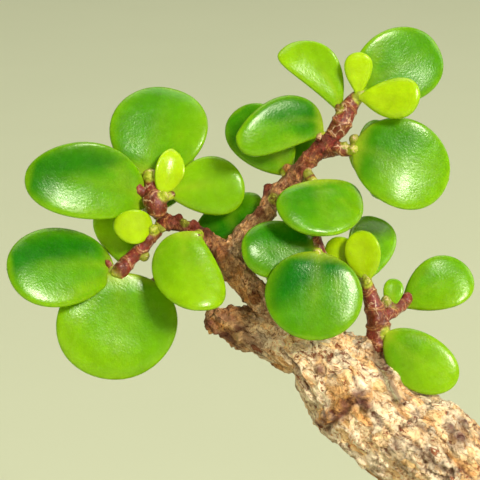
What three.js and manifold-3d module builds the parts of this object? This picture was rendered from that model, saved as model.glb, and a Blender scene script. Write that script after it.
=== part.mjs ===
// An elephant bush bonsai: a leaning trunk with a snapped stub, two forked branches
// and fleshy round leaves, in a plain oval stoneware pot.
// The plant is laid out as it is seen from one viewpoint: right, up and back from the
// middle of the crown, in millimetres, and place() turns that into the object's own frame.
import * as THREE from 'three';
import Module from 'manifold-3d';

const wasm = await Module();
wasm.setup();

// Pot
const POT_LENGTH = 104;
const POT_DEPTH = 66;
const POT_HEIGHT = 38;
const POT_WALL = 4;
const POT_FLOOR = 5;
const POT_FOOT_INSET = 6;
const LIP_HEIGHT = 4.5;
const LIP_OVERHANG = 2;
const OVAL_POWER = 2.7;
const OVAL_SIDES = 40;
const POT_EDGE = 0.8;
const WALL_RINGS = 5;
const DRAIN_RADIUS = 5;
const DRAIN_OFFSET = 24;
const DRAIN_SIDES = 24;

// Soil
const FIT_GAP = 0.3;
const SOIL_EDGE_LEVEL = 34.5;
const SOIL_MOUND = 4.5;
const SOIL_MOUND_REACH = 26;
const SOIL_RELIEF = 0.8;
const SOIL_BEVEL = 1.5;
const SOIL_LUMP = 9;
const SOIL_RINGS = 8;

// Viewpoint of the layout
const VIEW_DISTANCE = 400;
const VIEW_TILT = 15 * Math.PI / 180;
const CROWN_CENTRE = new THREE.Vector3(-27, 4, 102);

// Wood
const BARK_LUMP = 0.09;
const BARK_LUMP_SIZE = 3.4;
const CAP_RISE = 0.6;
const CAP_RING_RISE = 0.45;
const CAP_RING_SIZE = 0.68;
const TRUNK_SIDES = 14;
const ROOT_SIDES = 8;
const BRANCH_SIDES = 10;
const TWIG_SIDES = 8;
const TRUNK_FOOT_LEVEL = 20;
const ROOT_CENTRE = new THREE.Vector3(19.5, -1.5, 38);

// Leaves
const LEAF_THICKNESS = 2;
const PETIOLE_HALF_WIDTH = 0.62;
const SMALL_LEAF_WIDTH = 7;
const LARGE_LEAF_WIDTH = 11.5;
const FACET_SWELL = 1.012;

// Each limb: points of right, up, back and radius, from its root to its tip
const TRUNK = [
  [46.6, -86, 15.5, 14.5], [46, -66.7, 12, 14.4], [45.3, -60.5, 10, 13.4],
  [43.3, -53.3, 7.5, 11.8], [40, -46.7, 5, 10.8], [35.8, -40.8, 3, 9.9],
  [30.5, -34.8, 2, 9.1], [25, -31.5, 2, 8.3], [18.8, -25.5, 2, 8.2],
  [15.7, -22.2, 2, 6.9], [12.6, -18.6, 2, 5.8], [8.8, -17.2, 2, 4.7], [3.7, -15.2, 2, 3.9],
  [-0.8, -14.2, 2, 3.3], [-4.6, -13.1, 2, 1.9],
];
const TRUNK_SHOULDER = [[19.5, -24, 2, 6], [18.2, -20.4, 2, 5.4], [21, -19, 2, 3.6], [22.5, -18, 2, 2.6]];
// Surface roots: direction in degrees round the trunk, and reach
const ROOTS = [[205, 25], [262, 20], [322, 22], [18, 22], [78, 22], [140, 25]];
const ROOT_FALL = [[0, 9, 6], [0.32, 2.2, 4.6], [0.6, -2.2, 3.1], [0.85, -5.4, 2.2], [1, -7.6, 1.7]];
const BRANCHES = [
  [[9.5, -15.5, 2, 3.4], [6.2, -12.2, 1.5, 2.8], [1.7, -8, 0.8, 2.2], [-0.7, -5.3, 0.5, 2.4],
    [-2.3, -3, 0.5, 2.5], [-4.7, -0.5, 0.3, 1.7], [-6.2, 0.7, 0.2, 1.4], [-8.3, 1.8, 0.2, 1.2],
    [-10.7, 2.7, 0, 1.2], [-13.1, 2.9, 0, 1.55]],
  [[-2, -3, 0.5, 2.4], [-0.7, -0.5, 0.4, 1.6], [1, 1.8, 0.3, 1.6], [4.2, 4.2, 0.3, 1.6],
    [5.2, 6.5, 0.2, 1.6], [6.4, 8.2, 0, 1.4], [8.7, 10.3, 0, 1.4], [11, 12.8, 0, 1.4],
    [13.2, 15, 0, 1.5], [15, 16.6, 0, 1.8]],
  [[5, 6, 0.2, 1.3], [4.7, 8.3, 0.2, 0.9]],
];

// Each leaf: base, tip, width, sideways bend, fullness of its right and left flank at
// the base (small is full, large is a wedge), sharpness of the tip (one for both flanks, or
// right and left), roll in degrees, cup
const SHOOTS = {
  shoot_left_upper: {
    colour: 0x62a822,
    twigs: [
      [[-13.4, 4.2, 0, 1.2], [-14, 5.8, -0.8, 1.85], [-14.7, 8.7, 0, 1.2], [-14.9, 11, 0.4, 1.35]],
      [[-14.2, 6.5, 0, 0.8], [-15.6, 7.4, 0, 0.8], [-16.9, 8.4, -0.3, 0.85]],
      [[-13.6, 6.5, -0.5, 0.8], [-12.2, 7.2, -0.8, 0.8], [-11.2, 7.6, -0.8, 0.7]],
    ],
    leaves: [
      [[-15, 10.7, -0.4], [-11.1, 25.6, 5.4], 16.2, -0.6, 0.6, 0.42, 0.5, 2, 0.9],
      [[-15.2, 5.8, -0.6], [-35.3, 10.9, -8.8], 12.9, 1.4, 0.46, 0.75, 0.5, 6, 1.2],
      [[-12, 7.6, -0.1], [0.8, 8.9, 0], 10, -0.7, 0.85, 0.7, 0.5, -4, -0.1],
      [[-12.6, 7.4, -1.5], [-11, 15.4, -0.1], 5, 0, 0.7, 0.65, 0.65, 14, 0.9],
      [[-14.4, 7, 0.5], [-25, 12.5, 12], 9, 0, 0.6, 0.6, 0.5, 0, -0.5],
      [[-14.6, 9.5, 0.6], [-11.5, 19, 10], 11, 0, 0.6, 0.6, 0.5, 0, -0.5],
    ],
  },
  shoot_left_lower: {
    colour: 0x5fa41e,
    twigs: [
      [[-13.8, 1.5, 0, 1.1], [-15, 0.3, -0.3, 1.1], [-16.2, -1.2, -0.3, 1.2], [-18.3, -3.2, -0.3, 1.2],
        [-20, -5.1, -0.3, 1.45], [-21.2, -5.9, -0.3, 0.9]],
    ],
    leaves: [
      [[-20.6, -5.3, -0.1], [-38.8, -4.7, -8.8], 14.3, 0.4, 0.5, 0.8, 0.5, 23, 0.3],
      [[-20.8, -5.4, -0.9], [-20.5, -23.3, -1.6], 20.6, -0.1, 0.5, 0.42, 0.5, -14, 0.5],
      [[-14.4, 1.9, -1.2], [-20.8, 2.6, -4], 5.8, 0, 0.5, 0.5, 0.5, -8, 0.7],
      [[-19.2, -4.3, 0.2], [-22, 6, 3.4], 7.4, 0.3, 0.8, 0.95, 0.5, 0, 0.3],
      [[-20.3, -5.3, 0.2], [-20, -18, 8.5], 12, 0, 0.95, 0.95, 0.5, 0, -0.5],
      [[-20.6, -5, 0.2], [-31, -4.6, 9], 9.5, 0, 0.6, 0.6, 0.5, 0, -0.5],
    ],
  },
  shoot_back_left: {
    colour: 0x4c911d,
    twigs: [[[-11.5, 2.8, 0.4, 0.95], [-14, 4.6, 5, 0.95], [-18, 7, 11, 0.95], [-20.5, 8.6, 15, 0.8]]],
    leaves: [
      [[-15, 5.2, 6.8], [-9, 14.5, 14], 7.5, 0, 0.6, 0.6, 0.5, 0, 0.4],
      [[-18, 7, 11], [-29, 8.5, 18], 8, 0, 0.6, 0.6, 0.5, 0, 0.4],
      [[-20, 8.2, 14.4], [-31, 10.8, 22], 8.5, 0, 0.7, 0.7, 0.5, 30, 0.4],
      [[-20, 8.2, 14.4], [-13.5, 15.5, 22], 9, 0, 0.7, 0.7, 0.5, 0, 0.4],
    ],
  },
  shoot_back_low: {
    colour: 0x4c911d,
    twigs: [[[-5.2, -0.6, 0.8, 0.95], [-9, -2.6, 6, 0.95], [-14.5, -7.5, 12, 0.95], [-17, -10, 15, 0.8]]],
    leaves: [
      [[-9.4, -3, 6.5], [-6.8, -9.5, 14], 7.5, 0, 0.7, 0.7, 0.5, 0, 0.4],
      [[-16.8, -9.8, 14.6], [-26.5, -12.5, 20], 9.5, 0, 0.6, 0.6, 0.5, 0, 0.4],
      [[-16.8, -9.8, 14.6], [-18.5, -20, 19], 9, 0, 0.7, 0.7, 0.5, 0, 0.4],
    ],
  },
  shoot_back_middle: {
    colour: 0x468d1d,
    twigs: [[[12.2, -16.2, 5, 1.3], [13, -13.5, 10, 1.15], [13.2, -9.5, 15, 1.05], [12.4, -6, 18.5, 0.9]]],
    leaves: [
      [[13, -13.6, 10], [6.8, -12.5, 18], 8, 0, 0.7, 0.7, 0.5, 0, 0.4],
      [[13.2, -9.8, 14.8], [18.6, -8.8, 24], 8.5, 0, 0.7, 0.7, 0.5, 30, 0.4],
      [[12.5, -6.4, 18], [4.5, -3.4, 23], 9, 0, 0.6, 0.6, 0.5, 0, 0.4],
      [[12.5, -6.4, 18], [8, 2.5, 23.5], 8, 0, 0.7, 0.7, 0.5, 0, 0.4],
    ],
  },
  shoot_back_right: {
    colour: 0x549c20,
    twigs: [[[13.8, 14.2, 1, 0.8], [17.6, 15, 4.5, 0.9], [20.5, 13.8, 9, 0.9], [25, 13, 14, 0.8]]],
    leaves: [
      [[20.3, 13.9, 8.8], [25.5, 18.5, 16], 7.5, 0, 0.7, 0.7, 0.5, 0, 0.4],
      [[24.8, 13, 13.8], [32.8, 13.4, 20], 8.5, 0, 0.6, 0.6, 0.5, 0, 0.4],
      [[24.8, 13, 13.8], [25.6, 6.6, 21], 8, 0, 0.7, 0.7, 0.5, 0, 0.4],
    ],
  },
  spur_left_inner: {
    colour: 0x78b825,
    twigs: [[[-6.6, 1, -0.4, 1], [-7.3, 0.5, -1.8, 0.9]]],
    leaves: [
      [[-6.9, 0.9, -1], [-7.6, -12.2, -6], 12.4, 1.4, 0.26, 1, 0.5, 0, -1],
    ],
  },
  spur_fork_back: {
    colour: 0x3f861a,
    twigs: [[[0.2, 1, 0.8, 1], [-0.2, 1.6, 2.6, 0.8]]],
    leaves: [
      [[-0.3, 0.7, 1.9], [-3.6, 6.5, 4.4], 12.4, 0.3, 0.5, 0.5, 0.5, -5, 0.4],
    ],
  },
  spur_right_back: {
    colour: 0x4f961c,
    twigs: [[[8.3, 10, 0.5, 0.9], [7.4, 11.5, 1.8, 0.85]]],
    leaves: [
      [[7.7, 11, 0.9], [-0.6, 21.9, 2.5], 10.4, 0.4, 0.6, 0.8, 0.5, -1, 0.9],
    ],
  },
  spur_right_front: {
    colour: 0x57a01e,
    twigs: [[[10.8, 11.8, -0.2, 0.9], [11.6, 10.5, -1.2, 0.95], [12.1, 9.6, -1.9, 0.9]]],
    leaves: [
      [[12.1, 9.4, -1.9], [15.4, 0.7, -6.6], 16.2, 0, 0.38, 0.26, 0.5, -27, -0.4],
    ],
  },
  spur_right_under: {
    colour: 0x57a01e,
    twigs: [[[9.8, 11, 0.5, 0.9], [10.5, 9.8, 2, 0.9]]],
    leaves: [
      [[10.2, 10.3, 1.6], [12, 2.6, 9.5], 8.5, 0, 0.6, 0.6, 0.5, 0, -0.4],
    ],
  },
  spur_right_node: {
    colour: 0x64aa24,
    twigs: [[[14.4, 16.3, -0.2, 0.9], [13.2, 17.3, -0.7, 0.85]]],
    leaves: [
      [[13.8, 17.4, -0.2], [-0.7, 17.2, -7.1], 10, 2.1, 0.22, 1, [0.7, 0.5], 1, 0],
    ],
  },
  spur_right_node_back: {
    colour: 0x56a01f,
    twigs: [[[14.4, 16, 0.6, 0.9], [13.8, 17, 2.4, 0.85]]],
    leaves: [
      [[14, 16.8, 1.8], [3.6, 17, 10], 9.5, 0, 0.6, 0.6, 0.5, 0, -0.4],
    ],
  },
  shoot_right_side: {
    colour: 0x66ad22,
    twigs: [[[15.8, 15.6, -0.2, 1.1], [17.6, 14.9, -0.4, 1], [19.3, 15, -0.6, 0.95]]],
    leaves: [
      [[18.9, 15.1, -1.5], [35.1, 10.2, 0.3], 15.1, -0.1, 0.6, 0.46, 0.5, -8, 0.9],
      [[18, 15.2, 0.2], [28, 12.6, 9], 9, 0, 0.6, 0.6, 0.5, 0, -0.4],
    ],
  },
  shoot_right_tip: {
    colour: 0x7cbc2a,
    twigs: [
      [[15.6, 17.6, 0, 1.5], [16.6, 19, 0, 1.7], [17.6, 20.9, 0, 1.6], [18.7, 22.8, 0, 1.4],
        [20, 24.2, 0, 1.15]],
      [[17.4, 21, 0, 0.9], [16.6, 22, 0.2, 0.85]],
    ],
    leaves: [
      [[20.1, 23.8, 0.4], [33.1, 32.8, 5.3], 13.1, -0.6, 0.7, 0.42, 0.5, 9, 0.8],
      [[19.8, 23.8, -0.6], [19.7, 31.3, -2], 4.8, 0, 1.1, 1.1, 0.5, 6, 0.1],
      [[20, 23.7, -0.6], [30.1, 24.2, -3.5], 7, 0.4, 0.85, 0.85, 0.5, -8, -0.2],
      [[16.8, 21.6, -0.2], [7.2, 32.1, 0.2], 7.4, 2, 0.75, 0.8, 0.4, 7, 0.9],
      [[19.8, 23.8, 0.6], [27.5, 29.5, 9.5], 9, 0, 0.6, 0.6, 0.5, 0, -0.4],
    ],
  },
  shoot_middle: {
    colour: 0x3f8f1c,
    twigs: [[[13, -15, -0.5, 1.5], [13.4, -9, -1.2, 1.25], [13.5, -4, -1.4, 1.15], [13.1, -1.6, -1.4, 1.15],
      [12.8, 0.2, -1.4, 0.8]], [[13.3, -2.9, -1.6, 0.9], [13.1, -2.4, -5.2, 0.8]]],
    leaves: [
      [[12.6, -1.5, -1.3], [0.2, -1.9, -6.9], 10, 0.1, 0.5, 0.6, 0.5, 14, 0],
      [[13, -2, -5.6], [11.4, -16.7, -8.5], 16.2, -0.1, 0.5, 0.48, 0.5, -4, -0.2],
      [[13.2, -2.4, -1], [10.5, -11, 9], 9.5, 0, 1, 1, 0.5, 0, -0.4],
      [[13, -1.8, -1], [4.5, -2.5, 8], 8, 0, 0.6, 0.6, 0.5, 0, -0.4],
    ],
  },
  shoot_side: {
    colour: 0x84c22c,
    twigs: [
      [[22.9, -17.6, 1.9, 2.1], [23.1, -15.4, 1.6, 2], [22.9, -13, 1.2, 1.8], [21.9, -10, 1, 1.4],
        [21.2, -7.5, 0.8, 1.1], [20.9, -6, 0.8, 0.95]],
      [[22.8, -13.3, 1.2, 1.2], [24.6, -12.4, 2.4, 1.1], [26, -11.5, 4, 1.05], [27.4, -10.5, 6, 1],
        [27.9, -9.8, 6.8, 0.95]],
      [[25, -12.2, 2.8, 0.7], [24.8, -10.6, 3, 0.85]],
    ],
    leaves: [
      [[21, -6.6, 1.4], [22.7, 4, 11.5], 8.3, 0, 0.9, 0.7, 0.5, 6, 0.4],
      [[21.1, -6.9, -0.1], [20, 1.5, -0.9], 6.1, 0, 0.7, 0.7, 0.5, -10, 0.5],
      [[20.8, -6.6, 1], [14.9, 0, 1.6], 5.6, 0, 0.7, 0.7, 0.5, 0, 0.5],
      [[25, -11.4, 3.4], [25.9, -6.4, 4.4], 3.4, 0, 0.8, 0.8, 0.5, 0, 0.3],
      [[27.4, -10.8, 6.4], [38.5, -5, 8.6], 9.5, -0.3, 0.85, 0.7, 0.5, -13, 0.8],
      [[24.4, -15.6, 0.2], [35.9, -24.1, -1.1], 9.6, 0.5, 0.55, 0.6, 0.5, -9, 0.1],
      [[23.3, -14.6, 2.6], [24, -23.5, 13.5], 8.5, 0, 0.6, 0.6, 0.5, 0, -0.4],
      [[21.1, -6.9, 1.2], [17.5, -0.8, 9], 7, 0, 0.6, 0.6, 0.5, 0, -0.4],
    ],
  },
};

// Repeatable noise, from -1 to 1, over a lattice of hashed corners
function corner(x, y, z) {
  let h = Math.imul(x, 374761393) ^ Math.imul(y, 668265263) ^ Math.imul(z, 2147483647);
  h = Math.imul(h ^ (h >>> 13), 1274126177);
  return ((h ^ (h >>> 16)) >>> 0) / 2147483648 - 1;
}
function noise(x, y, z) {
  const [i, j, k] = [Math.floor(x), Math.floor(y), Math.floor(z)];
  const ease = (t) => t * t * (3 - 2 * t);
  const [u, v, w] = [ease(x - i), ease(y - j), ease(z - k)];
  const mix = (a, b, t) => a + (b - a) * t;
  const edge = (dj, dk) => mix(corner(i, j + dj, k + dk), corner(i + 1, j + dj, k + dk), u);
  return mix(mix(edge(0, 0), edge(1, 0), v), mix(edge(0, 1), edge(1, 1), v), w);
}

// A point of the layout in the viewpoint's own axes: right, up, back
function seen([right, up, back]) {
  const spread = 1 + back / VIEW_DISTANCE;
  return new THREE.Vector3(right * spread, up * spread, back);
}

// From the viewpoint's axes to the object's frame
function place(p) {
  const [sin, cos] = [Math.sin(VIEW_TILT), Math.cos(VIEW_TILT)];
  return new THREE.Vector3(p.x, p.y * sin + p.z * cos, p.y * cos - p.z * sin).add(CROWN_CENTRE);
}

// From the object's frame back to the viewpoint's axes
function unplace(p) {
  const [sin, cos] = [Math.sin(VIEW_TILT), Math.cos(VIEW_TILT)];
  const q = p.clone().sub(CROWN_CENTRE);
  return new THREE.Vector3(q.x, q.y * sin + q.z * cos, q.y * cos - q.z * sin);
}

// A closed solid from rings of points, each ring the same length, with a centre point at both ends
function solidFromRings(start, rings, end) {
  const count = rings[0].length;
  const points = [start, ...rings.flat(), end];
  const faces = [];
  for (let k = 0; k < count; k++) {
    const next = (k + 1) % count;
    faces.push(0, 1 + next, 1 + k);
    for (let r = 0; r + 1 < rings.length; r++) {
      const [a, b] = [1 + r * count, 1 + (r + 1) * count];
      faces.push(a + k, a + next, b + next, a + k, b + next, b + k);
    }
    const last = 1 + (rings.length - 1) * count;
    faces.push(last + k, last + next, points.length - 1);
  }
  return solidFromFaces(points, faces);
}
function solidFromFaces(points, faces) {
  const mesh = new wasm.Mesh({
    numProp: 3,
    vertProperties: Float32Array.from(points.flatMap((p) => [p.x, p.y, p.z])),
    triVerts: Uint32Array.from(faces),
  });
  mesh.merge();
  const solid = new wasm.Manifold(mesh);
  return solid.volume() > 0 ? solid : solidFromFaces(points, flipped(faces));
}
function flipped(faces) {
  const turned = [...faces];
  for (let i = 0; i < turned.length; i += 3) {
    [turned[i + 1], turned[i + 2]] = [turned[i + 2], turned[i + 1]];
  }
  return turned;
}

// A limb: a round sweep through its points with rounded ends and a lumpy skin
function limb(points, sides, step, lump, extra = 0) {
  return sweep(points.map(seen), points.map((p) => p[3]), sides, step, lump, extra);
}
function sweep(points, sizes, sides, step, lump, extra) {
  const path = new THREE.CatmullRomCurve3(points, false, 'centripetal');
  const length = path.getLength();
  const count = Math.max(3, Math.round(length / step));
  const radii = new THREE.SplineCurve(sizes.map((size, i) => new THREE.Vector2(i, size)));
  const rings = [];
  let side = new THREE.Vector3(0, 0, 1);
  for (let i = 0; i <= count; i++) {
    const t = i / count;
    const centre = path.getPoint(t);
    const along = path.getTangent(t);
    side = side.sub(along.clone().multiplyScalar(side.dot(along))).normalize();
    const across = new THREE.Vector3().crossVectors(along, side);
    const radius = radii.getPoint(t).y;
    rings.push(ring(centre, side, across, radius, sides, lump, extra));
  }
  const head = path.getTangent(0);
  const tail = path.getTangent(1);
  const [first, last] = [points[0], points[points.length - 1]];
  const size = sizes[sizes.length - 1];
  const capCentre = last.clone().addScaledVector(tail, size * CAP_RING_RISE + extra);
  const across = new THREE.Vector3().crossVectors(tail, side);
  rings.push(ring(capCentre, side, across, size * CAP_RING_SIZE, sides, 0, extra));
  const start = first.clone().addScaledVector(head, -extra);
  const end = last.clone().addScaledVector(tail, size * CAP_RISE + extra);
  return solidFromRings(place(start), rings, place(end));
}
function ring(centre, side, across, radius, sides, lump, extra) {
  const points = [];
  for (let k = 0; k < sides; k++) {
    const angle = 2 * Math.PI * k / sides;
    const out = side.clone().multiplyScalar(Math.cos(angle)).addScaledVector(across, Math.sin(angle));
    const p = centre.clone().addScaledVector(out, radius);
    const rough = noise(p.x / BARK_LUMP_SIZE, p.y / BARK_LUMP_SIZE, p.z / BARK_LUMP_SIZE);
    points.push(place(p.addScaledVector(out, radius * lump * rough + extra)));
  }
  return points;
}

// A fleshy leaf: a lens with a full outline that narrows to its stalk
function leaf([base, tip, width, bend, right, left, sharp, roll, cup]) {
  const small = width < SMALL_LEAF_WIDTH;
  const large = width > LARGE_LEAF_WIDTH;
  const steps = small ? 5 : large ? 7 : 6;
  const root = seen(base);
  const axis = seen(tip).sub(root);
  const length = axis.length();
  axis.normalize();
  const across = new THREE.Vector3().crossVectors(axis, new THREE.Vector3(0, 0, 1)).normalize();
  const face = new THREE.Vector3().crossVectors(axis, across);
  const turn = roll * Math.PI / 180;
  const side = across.clone().multiplyScalar(Math.cos(turn)).addScaledVector(face, -Math.sin(turn));
  const normal = new THREE.Vector3().crossVectors(axis, side);
  const outline = [];
  for (let i = 0; i <= steps; i++) {
    outline.push([leafTime(i / steps), 1]);
  }
  for (let i = steps - 1; i >= 0; i--) {
    outline.push([leafTime(i / steps), -1]);
  }
  const [rightSharp, leftSharp = rightSharp] = [sharp].flat();
  const edge = outline.map(([t, hand]) => {
    const onRight = hand > 0;
    const half = halfWidth(t, width / 2, onRight ? right : left, onRight ? rightSharp : leftSharp);
    return [t, bend * 4 * t * (1 - t) + hand * half];
  });
  const thick = small ? 0.2 * width + 0.35 : LEAF_THICKNESS;
  const middle = [0.56, bend];
  const at = (t, y, lift) => {
    const dish = cup * ((2 * (y - bend) / width) ** 2 - 0.4) - 0.8 * cup * (2 * t - 1) ** 2;
    const p = root.clone().addScaledVector(axis, length * t).addScaledVector(side, y);
    return place(p.addScaledVector(normal, dish + lift));
  };
  const loop = (part, lift) => edge.map(([t, y]) => {
    return at(middle[0] + (t - middle[0]) * part, middle[1] + (y - middle[1]) * part, lift);
  });
  const levels = large ? [[0.5, 0.94], [0.86, 0.66]] : [[0.74, 0.8]];
  const rings = [];
  levels.forEach(([part, share]) => rings.push(loop(part, share * thick / 2)));
  rings.push(loop(FACET_SWELL, 0));
  [...levels].reverse().forEach(([part, share]) => rings.push(loop(part, -share * thick / 2)));
  return solidFromRings(at(...middle, thick / 2), rings, at(...middle, -thick / 2));
}
function leafTime(t) {
  return (1 - Math.cos(Math.PI * t)) / 2;
}
function halfWidth(t, half, flank, sharp) {
  const peak = flank / (flank + sharp);
  const shape = (x) => x ** flank * (1 - x) ** sharp;
  const blade = half * shape(t) / shape(peak);
  const stalk = PETIOLE_HALF_WIDTH * Math.max(0, 1 - t) ** 0.5;
  return (blade ** 3 + stalk ** 3) ** (1 / 3);
}

// Point of the pot's oval plan at an angle, for given half length and half depth
function oval(angle, halfLength, halfDepth) {
  const [c, s] = [Math.cos(angle), Math.sin(angle)];
  const shape = (Math.abs(c) ** OVAL_POWER + Math.abs(s) ** OVAL_POWER) ** (-1 / OVAL_POWER);
  return [halfLength * c * shape, halfDepth * s * shape];
}
function ovalLoop(inset, level) {
  const loop = [];
  for (let k = 0; k < OVAL_SIDES; k++) {
    const [x, y] = oval(2 * Math.PI * k / OVAL_SIDES, POT_LENGTH / 2 - inset, POT_DEPTH / 2 - inset);
    loop.push(new THREE.Vector3(x, y, level));
  }
  return loop;
}
function ovalSolid(levels) {
  const rings = levels.map(([inset, level]) => ovalLoop(inset, level));
  const ends = [levels[0][1], levels[levels.length - 1][1]];
  return solidFromRings(new THREE.Vector3(0, 0, ends[0]), rings, new THREE.Vector3(0, 0, ends[1]));
}
function upright(radius, low, high, x, y) {
  return wasm.Manifold.cylinder(high - low, radius, radius, DRAIN_SIDES).translate([x, y, low]);
}

// Inset of the pot's inner wall at a level
function innerInset(level) {
  const rise = (level - POT_FLOOR) / (POT_HEIGHT - POT_FLOOR);
  return LIP_OVERHANG + POT_WALL + POT_FOOT_INSET * (1 - rise) ** 1.5;
}
function pot() {
  const wallTop = POT_HEIGHT - LIP_HEIGHT;
  const foot = LIP_OVERHANG + POT_FOOT_INSET;
  const outside = [[foot + POT_EDGE, 0], [foot, POT_EDGE]];
  for (let i = 1; i <= WALL_RINGS; i++) {
    const rise = i / WALL_RINGS;
    const inset = LIP_OVERHANG + POT_FOOT_INSET * (1 - rise) ** 1.5;
    outside.push([inset, POT_EDGE + (wallTop - 2 * POT_EDGE) * rise]);
  }
  outside.push([POT_EDGE, wallTop], [0, wallTop + POT_EDGE]);
  outside.push([0, POT_HEIGHT - POT_EDGE], [POT_EDGE, POT_HEIGHT]);
  const inside = [];
  for (let i = 0; i <= WALL_RINGS; i++) {
    const level = POT_FLOOR + (POT_HEIGHT - POT_FLOOR - POT_EDGE) * i / WALL_RINGS;
    inside.push([innerInset(level), level]);
  }
  inside.push([innerInset(POT_HEIGHT) - POT_EDGE, POT_HEIGHT + 1]);
  let body = ovalSolid(outside).subtract(ovalSolid(inside));
  for (const hand of [-1, 1]) {
    body = body.subtract(upright(DRAIN_RADIUS, -1, POT_FLOOR + 1, hand * DRAIN_OFFSET, 0));
  }
  return body;
}

// Soil: it fills the pot, rises to the trunk and has a grainy top
function soil(around) {
  const trunkFoot = place(seen(TRUNK[2]));
  const bottom = POT_FLOOR + FIT_GAP;
  const rings = [];
  for (let i = 0; i < WALL_RINGS; i++) {
    const level = bottom + (SOIL_EDGE_LEVEL - SOIL_BEVEL - bottom) * i / (WALL_RINGS - 1);
    rings.push(ovalLoop(innerInset(level) + FIT_GAP, level));
  }
  const rim = rings[rings.length - 1];
  const surface = (x, y) => {
    const away = Math.hypot(x - trunkFoot.x, y - trunkFoot.y);
    const mound = SOIL_MOUND * Math.exp(-((away / SOIL_MOUND_REACH) ** 2));
    return SOIL_EDGE_LEVEL + mound + SOIL_RELIEF * noise(x / SOIL_LUMP, y / SOIL_LUMP, 5);
  };
  for (let r = 0; r < SOIL_RINGS; r++) {
    const part = 1 - r / SOIL_RINGS;
    rings.push(rim.map((p) => {
      const [x, y] = [p.x * part, p.y * part];
      return new THREE.Vector3(x, y, r === 0 ? SOIL_EDGE_LEVEL : surface(x, y));
    }));
  }
  const top = new THREE.Vector3(0, 0, surface(0, 0));
  return solidFromRings(new THREE.Vector3(0, 0, bottom), rings, top).subtract(around);
}

// Trunk with its stub, roots and branches, thickened by extra all round
function wood(extra) {
  const parts = [limb(TRUNK, TRUNK_SIDES, 2.7, BARK_LUMP, extra)];
  parts.push(limb(TRUNK_SHOULDER, BRANCH_SIDES, 2.2, BARK_LUMP, extra));
  ROOTS.forEach(([angle, reach]) => {
    const turn = angle * Math.PI / 180;
    const path = ROOT_FALL.map(([part, rise]) => unplace(new THREE.Vector3(
      ROOT_CENTRE.x + reach * part * Math.cos(turn),
      ROOT_CENTRE.y + reach * part * Math.sin(turn),
      ROOT_CENTRE.z + rise,
    )));
    parts.push(sweep(path, ROOT_FALL.map((row) => row[2]), ROOT_SIDES, 4, BARK_LUMP, extra));
  });
  BRANCHES.forEach((points) => parts.push(limb(points, BRANCH_SIDES, 2.1, BARK_LUMP, extra)));
  const whole = wasm.Manifold.union(parts);
  return whole.trimByPlane([0, 0, 1], TRUNK_FOOT_LEVEL - extra);
}

// The largest connected body of a solid
function mainBody(solid) {
  return solid.decompose().reduce((best, body) => (body.volume() > best.volume() ? body : best));
}

function shoot({ twigs, leaves }, around) {
  const parts = twigs.map((points) => limb(points, TWIG_SIDES, 2.2, 0, 0));
  leaves.forEach((row) => parts.push(leaf(row)));
  return mainBody(wasm.Manifold.union(parts).subtract(around));
}

function mesh(name, solid, colour, roughness) {
  const data = solid.getMesh();
  const geometry = new THREE.BufferGeometry();
  geometry.setAttribute('position', new THREE.BufferAttribute(Float32Array.from(data.vertProperties), 3));
  geometry.setIndex(new THREE.BufferAttribute(Uint32Array.from(data.triVerts), 1));
  geometry.computeVertexNormals();
  const material = new THREE.MeshStandardMaterial({ color: colour, roughness, metalness: 0 });
  const piece = new THREE.Mesh(geometry, material);
  piece.name = name;
  return piece;
}

const bonsai = new THREE.Group();
bonsai.name = 'elephant_bush_bonsai';
const trunk = wood(0);
const clearance = wood(FIT_GAP);
bonsai.add(mesh('pot', pot(), 0x6a4a3c, 0.8));
bonsai.add(mesh('soil', soil(clearance), 0x6d5138, 0.95));
bonsai.add(mesh('trunk', trunk, 0xb8986a, 0.9));
for (const [name, spec] of Object.entries(SHOOTS)) {
  bonsai.add(mesh(name, shoot(spec, clearance), spec.colour, 0.35));
}

export default bonsai;
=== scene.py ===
"""An elephant bush bonsai: bark, twigs, fleshy leaves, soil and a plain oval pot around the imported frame.

The plant is laid out as it is seen from one viewpoint: right, up and back from the middle of the
crown, in millimetres. place() turns that into the object's own frame.
"""

import itertools
import math

import bmesh
import bpy
import numpy as np
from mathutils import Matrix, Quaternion, Vector


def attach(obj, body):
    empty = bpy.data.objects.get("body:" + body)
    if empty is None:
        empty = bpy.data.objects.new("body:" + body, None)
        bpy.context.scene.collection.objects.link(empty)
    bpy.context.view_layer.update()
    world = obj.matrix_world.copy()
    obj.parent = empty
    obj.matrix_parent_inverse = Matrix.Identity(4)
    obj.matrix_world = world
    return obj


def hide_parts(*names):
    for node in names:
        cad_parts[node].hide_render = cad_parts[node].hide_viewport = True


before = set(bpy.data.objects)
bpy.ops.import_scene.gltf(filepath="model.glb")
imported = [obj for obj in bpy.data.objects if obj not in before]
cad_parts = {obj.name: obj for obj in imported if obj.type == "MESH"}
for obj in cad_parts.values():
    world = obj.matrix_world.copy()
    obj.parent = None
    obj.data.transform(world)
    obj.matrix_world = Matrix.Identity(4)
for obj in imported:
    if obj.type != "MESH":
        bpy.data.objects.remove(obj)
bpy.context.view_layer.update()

MM = 0.001
rng = np.random.default_rng(7)

# How finely the wood is made: step of the sweeps, their sides, voxel of the merged skin, smoothing rounds
TRUNK_STEP, TRUNK_SIDES, TRUNK_VOXEL, TRUNK_SMOOTHING = 0.8, 36, 0.32, 6
BRANCH_STEP, BRANCH_SIDES, BRANCH_VOXEL, BRANCH_SMOOTHING = 0.4, 24, 0.2, 4
TWIG_STEP, TWIG_SIDES, TWIG_VOXEL, TWIG_SMOOTHING = 0.25, 20, 0.15, 3
CURVE_SAMPLES, SMOOTHING_SHARE, NEAREST_CHUNK, BALL_RINGS, BALL_SIDES = 200, 0.6, 4000, 8, 12
# Rounded end of a sweep, as parts of its radius: how far it stands out, and where its two rings lie
END_REACH, END_RINGS = 0.62, (0.35, 0.6)

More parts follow.
